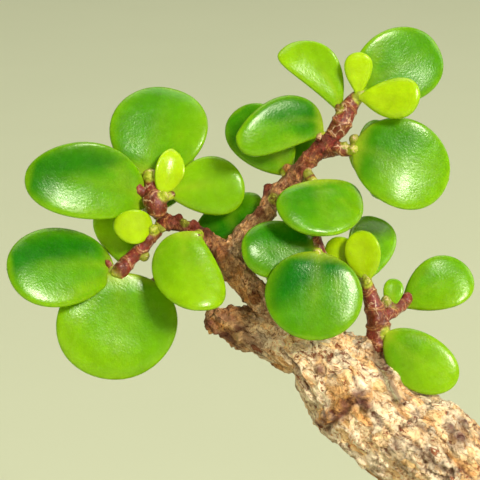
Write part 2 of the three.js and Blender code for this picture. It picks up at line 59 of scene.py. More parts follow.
# Viewpoint of the layout
VIEW_DISTANCE = 400.0
VIEW_TILT = math.radians(15)
CROWN_CENTRE = np.array([-27.0, 4.0, 102.0])
SIN, COS = math.sin(VIEW_TILT), math.cos(VIEW_TILT)

# Pot and soil, as the frame has them
POT_LENGTH, POT_DEPTH, POT_HEIGHT = 104.0, 66.0, 38.0
POT_WALL, POT_FLOOR, POT_FOOT_INSET = 4.0, 5.0, 6.0
LIP_HEIGHT, LIP_OVERHANG, OVAL_POWER = 4.5, 2.0, 2.7
DRAIN_RADIUS, DRAIN_OFFSET = 5.0, 24.0
SOIL_EDGE_LEVEL, SOIL_MOUND, SOIL_MOUND_REACH = 34.5, 4.5, 26.0

# Wood: points of right, up, back and radius, from root to tip. Roots: direction in degrees and reach, then
# the part of the reach, rise and radius along each
TRUNK = [
    (46.6, -86, 15.5, 14.5), (46, -66.7, 12, 14.4), (45.3, -60.5, 10, 13.4),
    (43.3, -53.3, 7.5, 11.8), (40, -46.7, 5, 10.8), (35.8, -40.8, 3, 9.9),
    (30.5, -34.8, 2, 9.1), (25, -31.5, 2, 8.3), (18.8, -25.5, 2, 8.2),
    (15.7, -22.2, 2, 6.9), (12.6, -18.6, 2, 5.8), (8.8, -17.2, 2, 4.7), (3.7, -15.2, 2, 3.9),
    (-0.8, -14.2, 2, 3.3), (-4.6, -13.1, 2, 1.9),
]
TRUNK_SHOULDER = [(19.5, -24, 2, 6), (18.2, -20.4, 2, 5.4), (21, -19, 2, 3.6), (22.5, -18, 2, 2.6)]
TRUNK_FOOT_LEVEL = 20.0
ROOT_CENTRE = np.array([19.5, -1.5, 38.0])
ROOTS = [(205, 25), (262, 20), (322, 22), (18, 22), (78, 22), (140, 25)]
ROOT_FALL = [(0, 9, 6), (0.32, 2.2, 4.6), (0.6, -2.2, 3.1), (0.85, -5.4, 2.2), (1, -7.6, 1.7)]
BRANCHES = [
    [(9.5, -15.5, 2, 3.4), (6.2, -12.2, 1.5, 2.8), (1.7, -8, 0.8, 2.2), (-0.7, -5.3, 0.5, 2.4),
     (-2.3, -3, 0.5, 2.5), (-4.7, -0.5, 0.3, 1.7), (-6.2, 0.7, 0.2, 1.4), (-8.3, 1.8, 0.2, 1.2),
     (-10.7, 2.7, 0, 1.2), (-13.1, 2.9, 0, 1.55)],
    [(-2, -3, 0.5, 2.4), (-0.7, -0.5, 0.4, 1.6), (1, 1.8, 0.3, 1.6), (4.2, 4.2, 0.3, 1.6),
     (5.2, 6.5, 0.2, 1.6), (6.4, 8.2, 0, 1.4), (8.7, 10.3, 0, 1.4), (11, 12.8, 0, 1.4),
     (13.2, 15, 0, 1.5), (15, 16.6, 0, 1.8)],
    [(5, 6, 0.2, 1.3), (4.7, 8.3, 0.2, 0.9)],
]


def even(base, tip, width, cup, youth, fullness=0.6, roll=0):
    """The row of a leaf that is alike on both flanks and has no shaded side."""
    return base, tip, width, 0, fullness, fullness, 0.5, roll, cup, youth


# Each shoot: its twigs, then its leaves as base, tip, width, sideways bend, fullness of the right and
# left flank, sharpness of the tip (one, or right and left), roll in degrees, cup, youth, and where the
# leaf has painted shade, the direction of its shaded side in degrees and the depth of that painted shade
SHOOTS = {
    "shoot_left_upper": ([
        [(-13.4, 4.2, 0, 1.2), (-14, 5.8, -0.8, 1.85), (-14.7, 8.7, 0, 1.2), (-14.9, 11, 0.4, 1.35)],
        [(-14.2, 6.5, 0, 0.8), (-15.6, 7.4, 0, 0.8), (-16.9, 8.4, -0.3, 0.85)],
        [(-13.6, 6.5, -0.5, 0.8), (-12.2, 7.2, -0.8, 0.8), (-11.2, 7.6, -0.8, 0.7)],
    ], [
        ((-15, 10.7, -0.4), (-11.1, 25.6, 5.4), 16.2, -0.6, 0.6, 0.42, 0.5, 2, 0.9, 0.34, 150, 0.35),
        ((-15.2, 5.8, -0.6), (-35.3, 10.9, -8.8), 12.9, 1.4, 0.46, 0.75, 0.5, 6, 1.2, 0.32, 125, 0.8),
        ((-12, 7.6, -0.1), (0.8, 8.9, 0), 10, -0.7, 0.85, 0.7, 0.5, -4, -0.1, 0.62),
        ((-12.6, 7.4, -1.5), (-11, 15.4, -0.1), 5, 0, 0.7, 0.65, 0.65, 14, 0.9, 1),
        even((-14.4, 7, 0.5), (-25, 12.5, 12), 9, -0.5, 0.3),
        even((-14.6, 9.5, 0.6), (-11.5, 19, 10), 11, -0.5, 0.3),
    ]),
    "shoot_left_lower": ([
        [(-13.8, 1.5, 0, 1.1), (-15, 0.3, -0.3, 1.1), (-16.2, -1.2, -0.3, 1.2),
         (-18.3, -3.2, -0.3, 1.2), (-20, -5.1, -0.3, 1.45), (-21.2, -5.9, -0.3, 0.9)],
    ], [
        ((-20.6, -5.3, -0.1), (-38.8, -4.7, -8.8), 14.3, 0.4, 0.5, 0.8, 0.5, 23, 0.3, 0.32, 110, 0.9),
        ((-20.8, -5.4, -0.9), (-20.5, -23.3, -1.6), 20.6, -0.1, 0.5, 0.42, 0.5, -14, 0.5, 0.55, 60, 0.25),
        even((-14.4, 1.9, -1.2), (-20.8, 2.6, -4), 5.8, 0.7, 0.95, 0.5, roll=-8),
        ((-19.2, -4.3, 0.2), (-22, 6, 3.4), 7.4, 0.3, 0.8, 0.95, 0.5, 0, 0.3, 0.6),
        even((-20.3, -5.3, 0.2), (-20, -18, 8.5), 12, -0.5, 0.3, 0.95),
        even((-20.6, -5, 0.2), (-31, -4.6, 9), 9.5, -0.5, 0.3),
    ]),
    "shoot_back_left": ([
        [(-11.5, 2.8, 0.4, 0.95), (-14, 4.6, 5, 0.95), (-18, 7, 11, 0.95), (-20.5, 8.6, 15, 0.8)],
    ], [
        even((-15, 5.2, 6.8), (-9, 14.5, 14), 7.5, 0.4, 0.25),
        even((-18, 7, 11), (-29, 8.5, 18), 8, 0.4, 0.25),
        even((-20, 8.2, 14.4), (-31, 10.8, 22), 8.5, 0.4, 0.25, 0.7, roll=30),
        even((-20, 8.2, 14.4), (-13.5, 15.5, 22), 9, 0.4, 0.25, 0.7),
    ]),
    "shoot_back_low": ([
        [(-5.2, -0.6, 0.8, 0.95), (-9, -2.6, 6, 0.95), (-14.5, -7.5, 12, 0.95), (-17, -10, 15, 0.8)],
    ], [
        even((-9.4, -3, 6.5), (-6.8, -9.5, 14), 7.5, 0.4, 0.25, 0.7),
        even((-16.8, -9.8, 14.6), (-26.5, -12.5, 20), 9.5, 0.4, 0.25),
        even((-16.8, -9.8, 14.6), (-18.5, -20, 19), 9, 0.4, 0.25, 0.7),
    ]),
    "shoot_back_middle": ([
        [(12.2, -16.2, 5, 1.3), (13, -13.5, 10, 1.15), (13.2, -9.5, 15, 1.05), (12.4, -6, 18.5, 0.9)],
    ], [
        even((13, -13.6, 10), (6.8, -12.5, 18), 8, 0.4, 0.22, 0.7),
        even((13.2, -9.8, 14.8), (18.6, -8.8, 24), 8.5, 0.4, 0.22, 0.7, roll=30),
        even((12.5, -6.4, 18), (4.5, -3.4, 23), 9, 0.4, 0.22),
        even((12.5, -6.4, 18), (8, 2.5, 23.5), 8, 0.4, 0.22, 0.7),
    ]),
    "shoot_back_right": ([
        [(13.8, 14.2, 1, 0.8), (17.6, 15, 4.5, 0.9), (20.5, 13.8, 9, 0.9), (25, 13, 14, 0.8)],
    ], [
        even((20.3, 13.9, 8.8), (25.5, 18.5, 16), 7.5, 0.4, 0.28, 0.7),
        even((24.8, 13, 13.8), (32.8, 13.4, 20), 8.5, 0.4, 0.28),
        even((24.8, 13, 13.8), (25.6, 6.6, 21), 8, 0.4, 0.28, 0.7),
    ]),
    "spur_left_inner": ([[(-6.6, 1, -0.4, 1), (-7.3, 0.5, -1.8, 0.9)]], [
        ((-6.9, 0.9, -1), (-7.6, -12.2, -6), 12.4, 1.4, 0.26, 1, 0.5, 0, -1, 0.66, 120, 0.2),
    ]),
    "spur_fork_back": ([[(0.2, 1, 0.8, 1), (-0.2, 1.6, 2.6, 0.8)]], [
        ((-0.3, 0.7, 1.9), (-3.6, 6.5, 4.4), 12.4, 0.3, 0.5, 0.5, 0.5, -5, 0.4, 0.05, 270, 0.5),
    ]),
    "spur_right_back": ([[(8.3, 10, 0.5, 0.9), (7.4, 11.5, 1.8, 0.85)]], [
        ((7.7, 11, 0.9), (-0.6, 21.9, 2.5), 10.4, 0.4, 0.6, 0.8, 0.5, -1, 0.9, 0.2, 120, 0.3),
    ]),
    "spur_right_front": ([[(10.8, 11.8, -0.2, 0.9), (11.6, 10.5, -1.2, 0.95), (12.1, 9.6, -1.9, 0.9)]], [
        ((12.1, 9.4, -1.9), (15.4, 0.7, -6.6), 16.2, 0, 0.38, 0.26, 0.5, -27, -0.4, 0.3, 150, 0.5),
    ]),
    "spur_right_under": ([[(9.8, 11, 0.5, 0.9), (10.5, 9.8, 2, 0.9)]], [
        even((10.2, 10.3, 1.6), (12, 2.6, 9.5), 8.5, -0.4, 0.3),
    ]),
    "spur_right_node": ([[(14.4, 16.3, -0.2, 0.9), (13.2, 17.3, -0.7, 0.85)]], [
        ((13.8, 17.4, -0.2), (-0.7, 17.2, -7.1), 10, 2.1, 0.22, 1, (0.7, 0.5), 1, 0, 0.27, 60, 0.8),
    ]),
    "spur_right_node_back": ([[(14.4, 16, 0.6, 0.9), (13.8, 17, 2.4, 0.85)]], [
        even((14, 16.8, 1.8), (3.6, 17, 10), 9.5, -0.4, 0.3),
    ]),
    "shoot_right_side": ([[(15.8, 15.6, -0.2, 1.1), (17.6, 14.9, -0.4, 1), (19.3, 15, -0.6, 0.95)]], [
        ((18.9, 15.1, -1.5), (35.1, 10.2, 0.3), 15.1, -0.1, 0.6, 0.46, 0.5, -8, 0.9, 0.42, 125, 0.6),
        even((18, 15.2, 0.2), (28, 12.6, 9), 9, -0.4, 0.3),
    ]),
    "shoot_right_tip": ([
        [(15.6, 17.6, 0, 1.5), (16.6, 19, 0, 1.7), (17.6, 20.9, 0, 1.6), (18.7, 22.8, 0, 1.4),
         (20, 24.2, 0, 1.15)],
        [(17.4, 21, 0, 0.9), (16.6, 22, 0.2, 0.85)],
    ], [
        ((20.1, 23.8, 0.4), (33.1, 32.8, 5.3), 13.1, -0.6, 0.7, 0.42, 0.5, 9, 0.8, 0.22),
        even((19.8, 23.8, -0.6), (19.7, 31.3, -2), 4.8, 0.1, 0.95, 1.1, roll=6),
        ((20, 23.7, -0.6), (30.1, 24.2, -3.5), 7, 0.4, 0.85, 0.85, 0.5, -8, -0.2, 0.9),
        ((16.8, 21.6, -0.2), (7.2, 32.1, 0.2), 7.4, 2, 0.75, 0.8, 0.4, 7, 0.9, 0.66),
        even((19.8, 23.8, 0.6), (27.5, 29.5, 9.5), 9, -0.4, 0.3),
    ]),
    "shoot_middle": ([
        [(13, -15, -0.5, 1.5), (13.4, -9, -1.2, 1.25), (13.5, -4, -1.4, 1.15),
         (13.1, -1.6, -1.4, 1.15), (12.8, 0.2, -1.4, 0.8)],
        [(13.3, -2.9, -1.6, 0.9), (13.1, -2.4, -5.2, 0.8)],
    ], [
        ((12.6, -1.5, -1.3), (0.2, -1.9, -6.9), 10, 0.1, 0.5, 0.6, 0.5, 14, 0, 0.08, 60, 0.6),
        ((13, -2, -5.6), (11.4, -16.7, -8.5), 16.2, -0.1, 0.5, 0.48, 0.5, -4, -0.2, 0.2, 125, 1),
        even((13.2, -2.4, -1), (10.5, -11, 9), 9.5, -0.4, 0.2, 1),
        even((13, -1.8, -1), (4.5, -2.5, 8), 8, -0.4, 0.2),
    ]),
    "shoot_side": ([
        [(22.9, -17.6, 1.9, 2.1), (23.1, -15.4, 1.6, 2), (22.9, -13, 1.2, 1.8), (21.9, -10, 1, 1.4),
         (21.2, -7.5, 0.8, 1.1), (20.9, -6, 0.8, 0.95)],
        [(22.8, -13.3, 1.2, 1.2), (24.6, -12.4, 2.4, 1.1), (26, -11.5, 4, 1.05), (27.4, -10.5, 6, 1),
         (27.9, -9.8, 6.8, 0.95)],
        [(25, -12.2, 2.8, 0.7), (24.8, -10.6, 3, 0.85)],
    ], [
        ((21, -6.6, 1.4), (22.7, 4, 11.5), 8.3, 0, 0.9, 0.7, 0.5, 6, 0.4, 0.55),
        even((21.1, -6.9, -0.1), (20, 1.5, -0.9), 6.1, 0.5, 1, 0.7, roll=-10),
        even((20.8, -6.6, 1), (14.9, 0, 1.6), 5.6, 0.5, 0.95, 0.7),
        even((25, -11.4, 3.4), (25.9, -6.4, 4.4), 3.4, 0.3, 0.6, 0.8),
        ((27.4, -10.8, 6.4), (38.5, -5, 8.6), 9.5, -0.3, 0.85, 0.7, 0.5, -13, 0.8, 0.55, 110, 0.2),
        ((24.4, -15.6, 0.2), (35.9, -24.1, -1.1), 9.6, 0.5, 0.55, 0.6, 0.5, -9, 0.1, 0.62, 150, 0.3),
        even((23.3, -14.6, 2.6), (24, -23.5, 13.5), 8.5, -0.4, 0.3),
        even((21.1, -6.9, 1.2), (17.5, -0.8, 9), 7, -0.4, 0.3),
    ]),
}


# Repeatable noise


def hashed(cell, seed):
    """A value from 0 to 1 for each whole-number cell."""
    c = cell.astype(np.int64).astype(np.uint32)
    h = c[:, 0] * np.uint32(374761393) ^ c[:, 1] * np.uint32(668265263) ^ c[:, 2] * np.uint32(2246822519)
    h = (h ^ np.uint32(seed * 40503 + 17)) * np.uint32(3266489917)
    h = (h ^ (h >> np.uint32(13))) * np.uint32(1274126177)
    h = (h ^ (h >> np.uint32(16))) * np.uint32(2654435769)
    return (h ^ (h >> np.uint32(15))).astype(float) / 2.0**32


def value_noise(p, seed=0):
    """Smooth noise from -1 to 1."""
    base = np.floor(p)
    f = p - base
    f = f * f * (3 - 2 * f)
    total = np.zeros(len(p))
    for corner in itertools.product((0, 1), repeat=3):
        weight = np.prod(np.where(np.array(corner), f, 1 - f), axis=1)
        total += weight * hashed(base + np.array(corner), seed)
    return total * 2 - 1


def fractal(p, octaves=3, seed=0):
    """Noise from about -1 to 1 with finer and finer detail."""
    total = np.zeros(len(p))
    for k in range(octaves):
        total += value_noise(p * 2.03**k + 11.3 * k, seed + k) * 0.5**k
    return total / (2 - 0.5 ** (octaves - 1))


def cells(p, seed=0):
    """Distance to the nearest and next spot of a jittered lattice, and the nearest one's value."""
    base = np.floor(p)
    first = np.full(len(p), 9.0)
    second = first.copy()
    value = np.zeros(len(p))
    for step in itertools.product((-1, 0, 1), repeat=3):
        cell = base + np.array(step)
        spot = cell + np.stack([hashed(cell, seed + k) for k in (1, 2, 3)], 1)
        far = np.linalg.norm(p - spot, axis=1)
        closer = far < first
        second = np.where(closer, first, np.minimum(second, far))
        value = np.where(closer, hashed(cell, seed + 7), value)
        first = np.where(closer, far, first)
    return first, second, value


def warp(p, seed):
    """An offset for each point, from -1 to 1 on each axis."""
    return np.stack([fractal(p + 9.1 * k, 2, seed + k) for k in range(3)], 1)


def ramp(x, low, high):
    """0 below low, 1 above high, smooth between."""
    t = np.clip((x - low) / (high - low), 0, 1)
    return t * t * (3 - 2 * t)


def bell(x, width, power=2):
    """1 where x is 0, falling off on both sides over about width."""
    return np.exp(-((x / width) ** power))


def srgb(r, g, b):
    """A display colour, 0 to 255, as linear light."""
    c = np.array([r, g, b]) / 255
    return np.where(c <= 0.04045, c / 12.92, ((c + 0.055) / 1.055) ** 2.4)


def blend(a, b, t):
    """Colours a and b mixed by t, one t for each row."""
    return a + (b - a) * np.asarray(t)[..., None]


def coated(colour, *coats):
    """The colours under coats of colour and strength, each over the last."""
    for coat, strength in coats:
        colour = blend(colour, coat, strength)
    return colour


# Layout


def seen(p):
    """Layout points spread with their depth, as the eye's lines of sight spread."""
    p = np.atleast_2d(np.asarray(p, float))
    spread = 1 + p[:, 2:3] / VIEW_DISTANCE
    return np.hstack([p[:, :2] * spread, p[:, 2:3]])


def turned(p):
    """Right, up and back turned into the object's axes, or the other way: the turn undoes itself."""
    return np.stack([p[:, 0], p[:, 1] * SIN + p[:, 2] * COS, p[:, 1] * COS - p[:, 2] * SIN], 1)


def place(p):
    """Spread points in the object's frame."""
    return turned(p) + CROWN_CENTRE


def unplace(p):
    """The reverse of place()."""
    return turned(np.atleast_2d(p) - CROWN_CENTRE)


def layout(p):
    """Points of the object as right, up and back from the viewpoint."""
    q = unplace(p)
    spread = 1 + q[:, 2:3] / VIEW_DISTANCE
    return np.hstack([q[:, :2] / spread, q[:, 2:3]])


def spans(count, t):
    """For each t from 0 to 1 along count points: the point before it, and the part of the way on."""
    at = np.clip(np.asarray(t) * (count - 1), 0, count - 1 - 1e-9)
    before = at.astype(int)
    return before, at - before


def spline(points, t):
    """Centripetal curve through the points, at each t from 0 to 1."""
    p = np.asarray(points, float)
    p = np.vstack([2 * p[0] - p[1], p, 2 * p[-1] - p[-2]])
    i, w = spans(len(points), t)
    w = w[:, None]
    a, b, c, d = (p[i + k] for k in range(4))
    lengths = [np.linalg.norm(v - u, axis=1, keepdims=True) for u, v in ((a, b), (b, c), (c, d))]
    before, here, after = (np.maximum(length, 1e-9) ** 0.5 for length in lengths)
    leave = ((b - a) / before - (c - a) / (before + here) + (c - b) / here) * here
    arrive = ((c - b) / here - (d - b) / (here + after) + (d - c) / after) * here
    square, cube = 3 * (c - b) - 2 * leave - arrive, 2 * (b - c) + leave + arrive
    return b + leave * w + square * w**2 + cube * w**3


def sizes_at(sizes, t):
    """Radii between the given ones, on a smooth curve."""
    s = np.asarray(sizes, float)
    s = np.concatenate([s[:1], s, s[-1:]])
    i, w = spans(len(sizes), t)
    a, b, c, d = (s[i + k] for k in range(4))
    leave, arrive = (c - a) / 2, (d - b) / 2
    square, cube = 3 * c - 3 * b - 2 * leave - arrive, 2 * b - 2 * c + leave + arrive
    return cube * w**3 + square * w**2 + leave * w + b


class Stem:
    """A sweep along a curve: its centres, directions and radii, in the object's frame."""

    def __init__(self, points, sizes, step):
        rough = spline(points, np.linspace(0, 1, CURVE_SAMPLES))
        length = np.linalg.norm(np.diff(rough, axis=0), axis=1).sum()
        count = max(6, int(length / step))
        t = np.linspace(0, 1, count + 1)
        self.centre = place(spline(points, t))
        self.radius = sizes_at(sizes, t)
        self.along = np.gradient(self.centre, axis=0)
        self.along /= np.linalg.norm(self.along, axis=1, keepdims=True)
        self.arc = np.concatenate([[0], np.cumsum(np.linalg.norm(np.diff(self.centre, axis=0), axis=1))])
        side = np.array([0.0, COS, -SIN])
        sides = []
        for forward in self.along:
            side = side - forward * side.dot(forward)
            side = side / np.linalg.norm(side)
            sides.append(side)
        self.side = np.array(sides)
        self.across = np.cross(self.along, self.side)

    def mesh(self, count):
        """A closed tube with rounded ends."""
        angle = (np.arange(count) * 2 * math.pi / count)[None, :, None]
        out = np.cos(angle) * self.side[:, None] + np.sin(angle) * self.across[:, None]
        rings = self.centre[:, None] + out * self.radius[:, None, None]
        caps = []
        for end, sign in ((0, -1), (-1, 1)):
            r = self.radius[end]
            for part in END_RINGS:
                shrink = math.sqrt(1 - (part / END_REACH) ** 2 * 0.96)
                lift = self.along[end] * sign * r * part
                caps.append(self.centre[end] + lift + out[end] * r * shrink)
        rings = np.concatenate([[caps[1], caps[0]], rings, [caps[2], caps[3]]])
        tips = [self.centre[0] - self.along[0] * self.radius[0] * END_REACH,
                self.centre[-1] + self.along[-1] * self.radius[-1] * END_REACH]
        return lathe(rings, tips[0], tips[1])


def limbs(lines, step):
    """A sweep along each line of right, up, back and radius."""
    return [Stem(seen([p[:3] for p in line]), [p[3] for p in line], step) for line in lines]


def lathe(rings, start, end):
    """Vertices and faces of a closed skin from rings of points and a point at each end."""
    count, sides = rings.shape[:2]
    verts = np.vstack([rings.reshape(-1, 3), start, end])
    k = np.arange(sides)
    after = (k + 1) % sides
    faces = []
    for r in range(count - 1):
        low, high = r * sides, (r + 1) * sides
        faces += np.stack([low + k, low + after, high + after, high + k], 1).tolist()
    first, last = count * sides, count * sides + 1
    faces += np.stack([np.full(sides, first), after, k], 1).tolist()
    high = (count - 1) * sides
    faces += np.stack([np.full(sides, last), high + k, high + after], 1).tolist()
    return verts, faces


def joined(parts):
    """Several skins as one set of vertices and faces."""
    verts, faces, start = [], [], 0
    for v, f in parts:
        verts.append(v)
        faces += [[i + start for i in face] for face in f]
        start += len(v)
    return np.vstack(verts), faces


def ball(centre, radius, stretch=(1, 1, 1)):
    """A small round lump."""
    angle = np.arange(BALL_SIDES) * 2 * math.pi / BALL_SIDES
    rows = []
    for i in range(1, BALL_RINGS):
        a = math.pi * i / BALL_RINGS
        level = np.full(BALL_SIDES, -math.cos(a))
        rows.append(np.stack([np.cos(angle) * math.sin(a), np.sin(angle) * math.sin(a), level], 1))
    skin, faces = lathe(np.array(rows), np.array([0, 0, -1.0]), np.array([0, 0, 1.0]))
    return skin * (np.array(stretch) * radius) + centre, faces


def added(name, data):
    """A new object in the scene."""
    obj = bpy.data.objects.new(name, data)
    bpy.context.scene.collection.objects.link(obj)
    return obj


def make(name, verts, faces, material, smooth=True, tint=None, **numbers):
    """A new object from millimetre vertices, with a colour and numbers kept on its points."""
    data = bpy.data.meshes.new(name)
    data.from_pydata((np.asarray(verts) * MM).tolist(), [], faces)
    data.polygons.foreach_set("use_smooth", [smooth] * len(data.polygons))
    if tint is not None:
        layer = data.attributes.new("tint", "FLOAT_COLOR", "POINT")
        opaque = np.hstack([tint, np.ones((len(tint), 1))])
        layer.data.foreach_set("color", opaque.astype(np.float32).ravel())
    for key, values in numbers.items():
        layer = data.attributes.new(key, "FLOAT", "POINT")
        layer.data.foreach_set("value", np.asarray(values, np.float32))
    data.materials.append(material)
    data.update()
    return added(name, data)


def dress(piece, node):
    """The piece stands for a node, whose frame part is hidden, and belongs to the one body."""
    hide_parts(node)
    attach(piece, "root")


def trimmed(obj, level):
    """Cuts off what lies below a level and closes the cut."""
    work = bmesh.new()
    work.from_mesh(obj.data)
    bmesh.ops.bisect_plane(work, geom=work.verts[:] + work.edges[:] + work.faces[:],
                           plane_co=(0, 0, level * MM), plane_no=(0, 0, 1), clear_inner=True)
    bmesh.ops.edgeloop_fill(work, edges=[e for e in work.edges if e.is_boundary])
    work.to_mesh(obj.data)
    work.free()
    return obj


def evaluated(obj):
    """The object's mesh with its modifiers applied, as a mesh of its own."""
    bpy.context.view_layer.update()
    return bpy.data.meshes.new_from_object(obj.evaluated_get(bpy.context.evaluated_depsgraph_get()))


def skin_of(parts, voxel, smoothing):
    """The parts merged into one even skin. Returns vertices, faces and normals."""
    verts, faces = joined(parts)
    data = bpy.data.meshes.new("raw")
    data.from_pydata(verts.tolist(), [], faces)
    obj = added("raw", data)
    remesh = obj.modifiers.new("remesh", "REMESH")
    remesh.mode = "VOXEL"
    remesh.voxel_size = voxel
    even_mesh = evaluated(obj)
    bpy.data.objects.remove(obj)
    bpy.data.meshes.remove(data)
    co = np.zeros(len(even_mesh.vertices) * 3)
    even_mesh.vertices.foreach_get("co", co)
    co = co.reshape(-1, 3)
    edges = np.zeros(len(even_mesh.edges) * 2, int)
    even_mesh.edges.foreach_get("vertices", edges)
    edges = edges.reshape(-1, 2)
    quads = [list(p.vertices) for p in even_mesh.polygons]
    bpy.data.meshes.remove(even_mesh)
    for _ in range(smoothing):
        co = co + SMOOTHING_SHARE * (around(co, edges) - co)
    return co, quads, normals_of(co, quads)


def around(values, edges):
    """The mean of each vertex's neighbours."""
    n = len(values)
    ends = np.concatenate([edges[:, 0], edges[:, 1]])
    others = np.concatenate([edges[:, 1], edges[:, 0]])
    degree = np.maximum(np.bincount(ends, minlength=n), 1)
    sums = [np.bincount(ends, values[others, k], minlength=n) for k in range(values.shape[1])]
    return np.stack([each / degree for each in sums], 1)


def normals_of(co, faces):
    """The normal of each vertex, from the faces round it."""
    quads = np.array([f if len(f) == 4 else f + [f[-1]] for f in faces])
    face = np.cross(co[quads[:, 2]] - co[quads[:, 0]], co[quads[:, 3]] - co[quads[:, 1]])
    total = np.zeros((len(co), 3))
    for k in range(3):
        total[:, k] = sum(np.bincount(quads[:, c], face[:, k], minlength=len(co)) for c in range(4))
    return total / np.maximum(np.linalg.norm(total, axis=1, keepdims=True), 1e-12)


def along_stems(co, stems):
    """For each vertex: its stem's number, its place along it, round it, and the stem's radius there."""
    centre = np.vstack([s.centre for s in stems])
    radius = np.concatenate([s.radius for s in stems])
    number = np.concatenate([np.full(len(s.centre), i) for i, s in enumerate(stems)])
    arc = np.concatenate([s.arc for s in stems])
    along, side, across = (np.vstack([getattr(s, k) for s in stems]) for k in ("along", "side", "across"))
    best = np.zeros(len(co), int)
    for start in range(0, len(co), NEAREST_CHUNK):
        part = co[start:start + NEAREST_CHUNK]
        squares = (part**2).sum(1)[:, None] + (centre**2).sum(1)[None] - 2 * part @ centre.T
        far = np.sqrt(np.maximum(squares, 0)) - radius[None]
        best[start:start + NEAREST_CHUNK] = far.argmin(1)
    gap = co - centre[best]
    local = np.stack([(gap * side[best]).sum(1), (gap * across[best]).sum(1),
                      arc[best] + (gap * along[best]).sum(1)], 1)
    return number[best], local, radius[best]


# Materials


class Paint:
    """A node material built up from its object coordinates."""

    def __init__(self, name, **settings):
        self.material = bpy.data.materials.new(name)
        self.material.use_nodes = True
        self.tree = self.material.node_tree
        self.shader = self.tree.nodes["Principled BSDF"]
        self.place = self.node("TexCoord").outputs["Object"]
        for key, value in settings.items():
            self.shader.inputs[key.replace("_", " ")].default_value = value

    def node(self, kind, inputs=(), **settings):
        """A new node with numbers, colours or other nodes' outputs at its inputs."""
        node = self.tree.nodes.new("ShaderNode" + kind)
        for key, value in settings.items():
            setattr(node, key, value)
        for key, value in dict(inputs).items():
            if isinstance(value, bpy.types.NodeSocket):
                self.tree.links.new(value, node.inputs[key])
            else:
                node.inputs[key].default_value = value
        return node

    def noise(self, size, detail=3.0, rough=0.55, at=None):
        """Noise from 0 to 1 with lumps of about size millimetres."""
        inputs = {"Scale": 1 / (size * MM), "Detail": detail, "Roughness": rough}
        inputs["Vector"] = at or self.place
        return self.node("TexNoise", inputs).outputs["Fac"]

    def spots(self, size, feature="F1"):
        inputs = {"Vector": self.place, "Scale": 1 / (size * MM)}
        return self.node("TexVoronoi", inputs, feature=feature).outputs["Distance"]

    def facets(self, size):
        """Angular flakes of about size millimetres: their tilted faces, and two values for each flake."""
        inputs = {"Vector": self.place, "Scale": 1 / (size * MM)}
        cell = self.node("TexVoronoi", inputs).outputs
        slope = self.vector("SUBTRACT", cell["Color"], (0.5, 0.5, 0.5))
        away = self.vector("SUBTRACT", self.place, cell["Position"])
        tilt = self.vector("DOT_PRODUCT", slope, away, "Value")
        values = self.node("SeparateColor", {"Color": cell["Color"]}).outputs
        step = self.times(values[0], 0.2 * size)
        return self.math("ADD", self.times(tilt, 2 / MM), step), values[1], values[2]

    def vector(self, operation, a, b, output="Vector"):
        return self.node("VectorMath", {0: a, 1: b}, operation=operation).outputs[output]

    def math(self, operation, a, b=0.0):
        return self.node("Math", {0: a, 1: b}, operation=operation).outputs[0]

    def times(self, a, b):
        return self.math("MULTIPLY", a, b)

    def leaning(self, turn, length):
        """The pattern's place, drawn out along a line turned by so many degrees from upright."""
        inputs = {"Vector": self.place, "Rotation": (0, math.radians(turn), 0), "Scale": (1, 1, length)}
        return self.node("Mapping", inputs, vector_type="TEXTURE").outputs[0]

    def ruffle(self, size, reach):
        """Pushes the pattern about by up to reach millimetres."""
        inputs = {"Vector": self.place, "Scale": 1 / (size * MM), "Detail": 2.0}
        push = self.node("TexNoise", inputs).outputs["Color"]
        push = self.vector("SUBTRACT", push, (0.5, 0.5, 0.5))
        push = self.vector("MULTIPLY", push, (2 * reach * MM,) * 3)
        self.place = self.vector("ADD", self.place, push)

    def layers(self, value, count):
        """Flat layers with sharp edges out of a smooth value: their height, 0 to 1, and their edges."""
        level = self.times(value, count)
        part = self.math("FRACT", level)
        height = self.math("ADD", self.math("FLOOR", level), self.ranged(part, 0.0, 0.16))
        edge = self.math("ABSOLUTE", self.math("SUBTRACT", part, 0.08))
        return self.math("DIVIDE", height, count), self.ranged(edge, 0.02, 0.14, 1.0, 0.0)

    def ranged(self, value, low, high, to_low=0.0, to_high=1.0):
        """The value, with low to high stretched onto to_low to to_high and no further."""
        inputs = {"Value": value, "From Min": low, "From Max": high, "To Min": to_low, "To Max": to_high}
        return self.node("MapRange", inputs).outputs[0]

    def attribute(self, name, output="Color"):
        return self.node("Attribute", attribute_name=name).outputs[output]

    def mixed(self, a, b, factor, mode="MIX"):
        a, b = (c if isinstance(c, bpy.types.NodeSocket) else (*c, 1) for c in (a, b))
        return self.node("Mix", {0: factor, 6: a, 7: b}, data_type="RGBA", blend_type=mode).outputs[2]

    def shaded(self, colour, value):
        """The colour times a value."""
        grey = self.node("CombineColor", dict.fromkeys(("Red", "Green", "Blue"), value)).outputs[0]
        return self.stained(colour, (grey, 1.0))

    def stained(self, colour, *stains):
        """The colour multiplied by each stain, as far as its mask shows."""
        for tone, mask in stains:
            colour = self.mixed(colour, tone, mask, "MULTIPLY")
        return colour

    def bump(self, height, depth, below=None):
        """Relief of depth millimetres, on top of the relief below."""
        inputs = {"Height": height, "Distance": depth * MM, "Strength": 1.0}
        if below is not None:
            inputs["Normal"] = below
        return self.node("Bump", inputs).outputs[0]

    def finish(self, colour, roughness=None, normal=None):
        for key, value in (("Base Color", colour), ("Roughness", roughness), ("Normal", normal)):
            if value is not None:
                self.tree.links.new(value, self.shader.inputs[key])
        return self.material


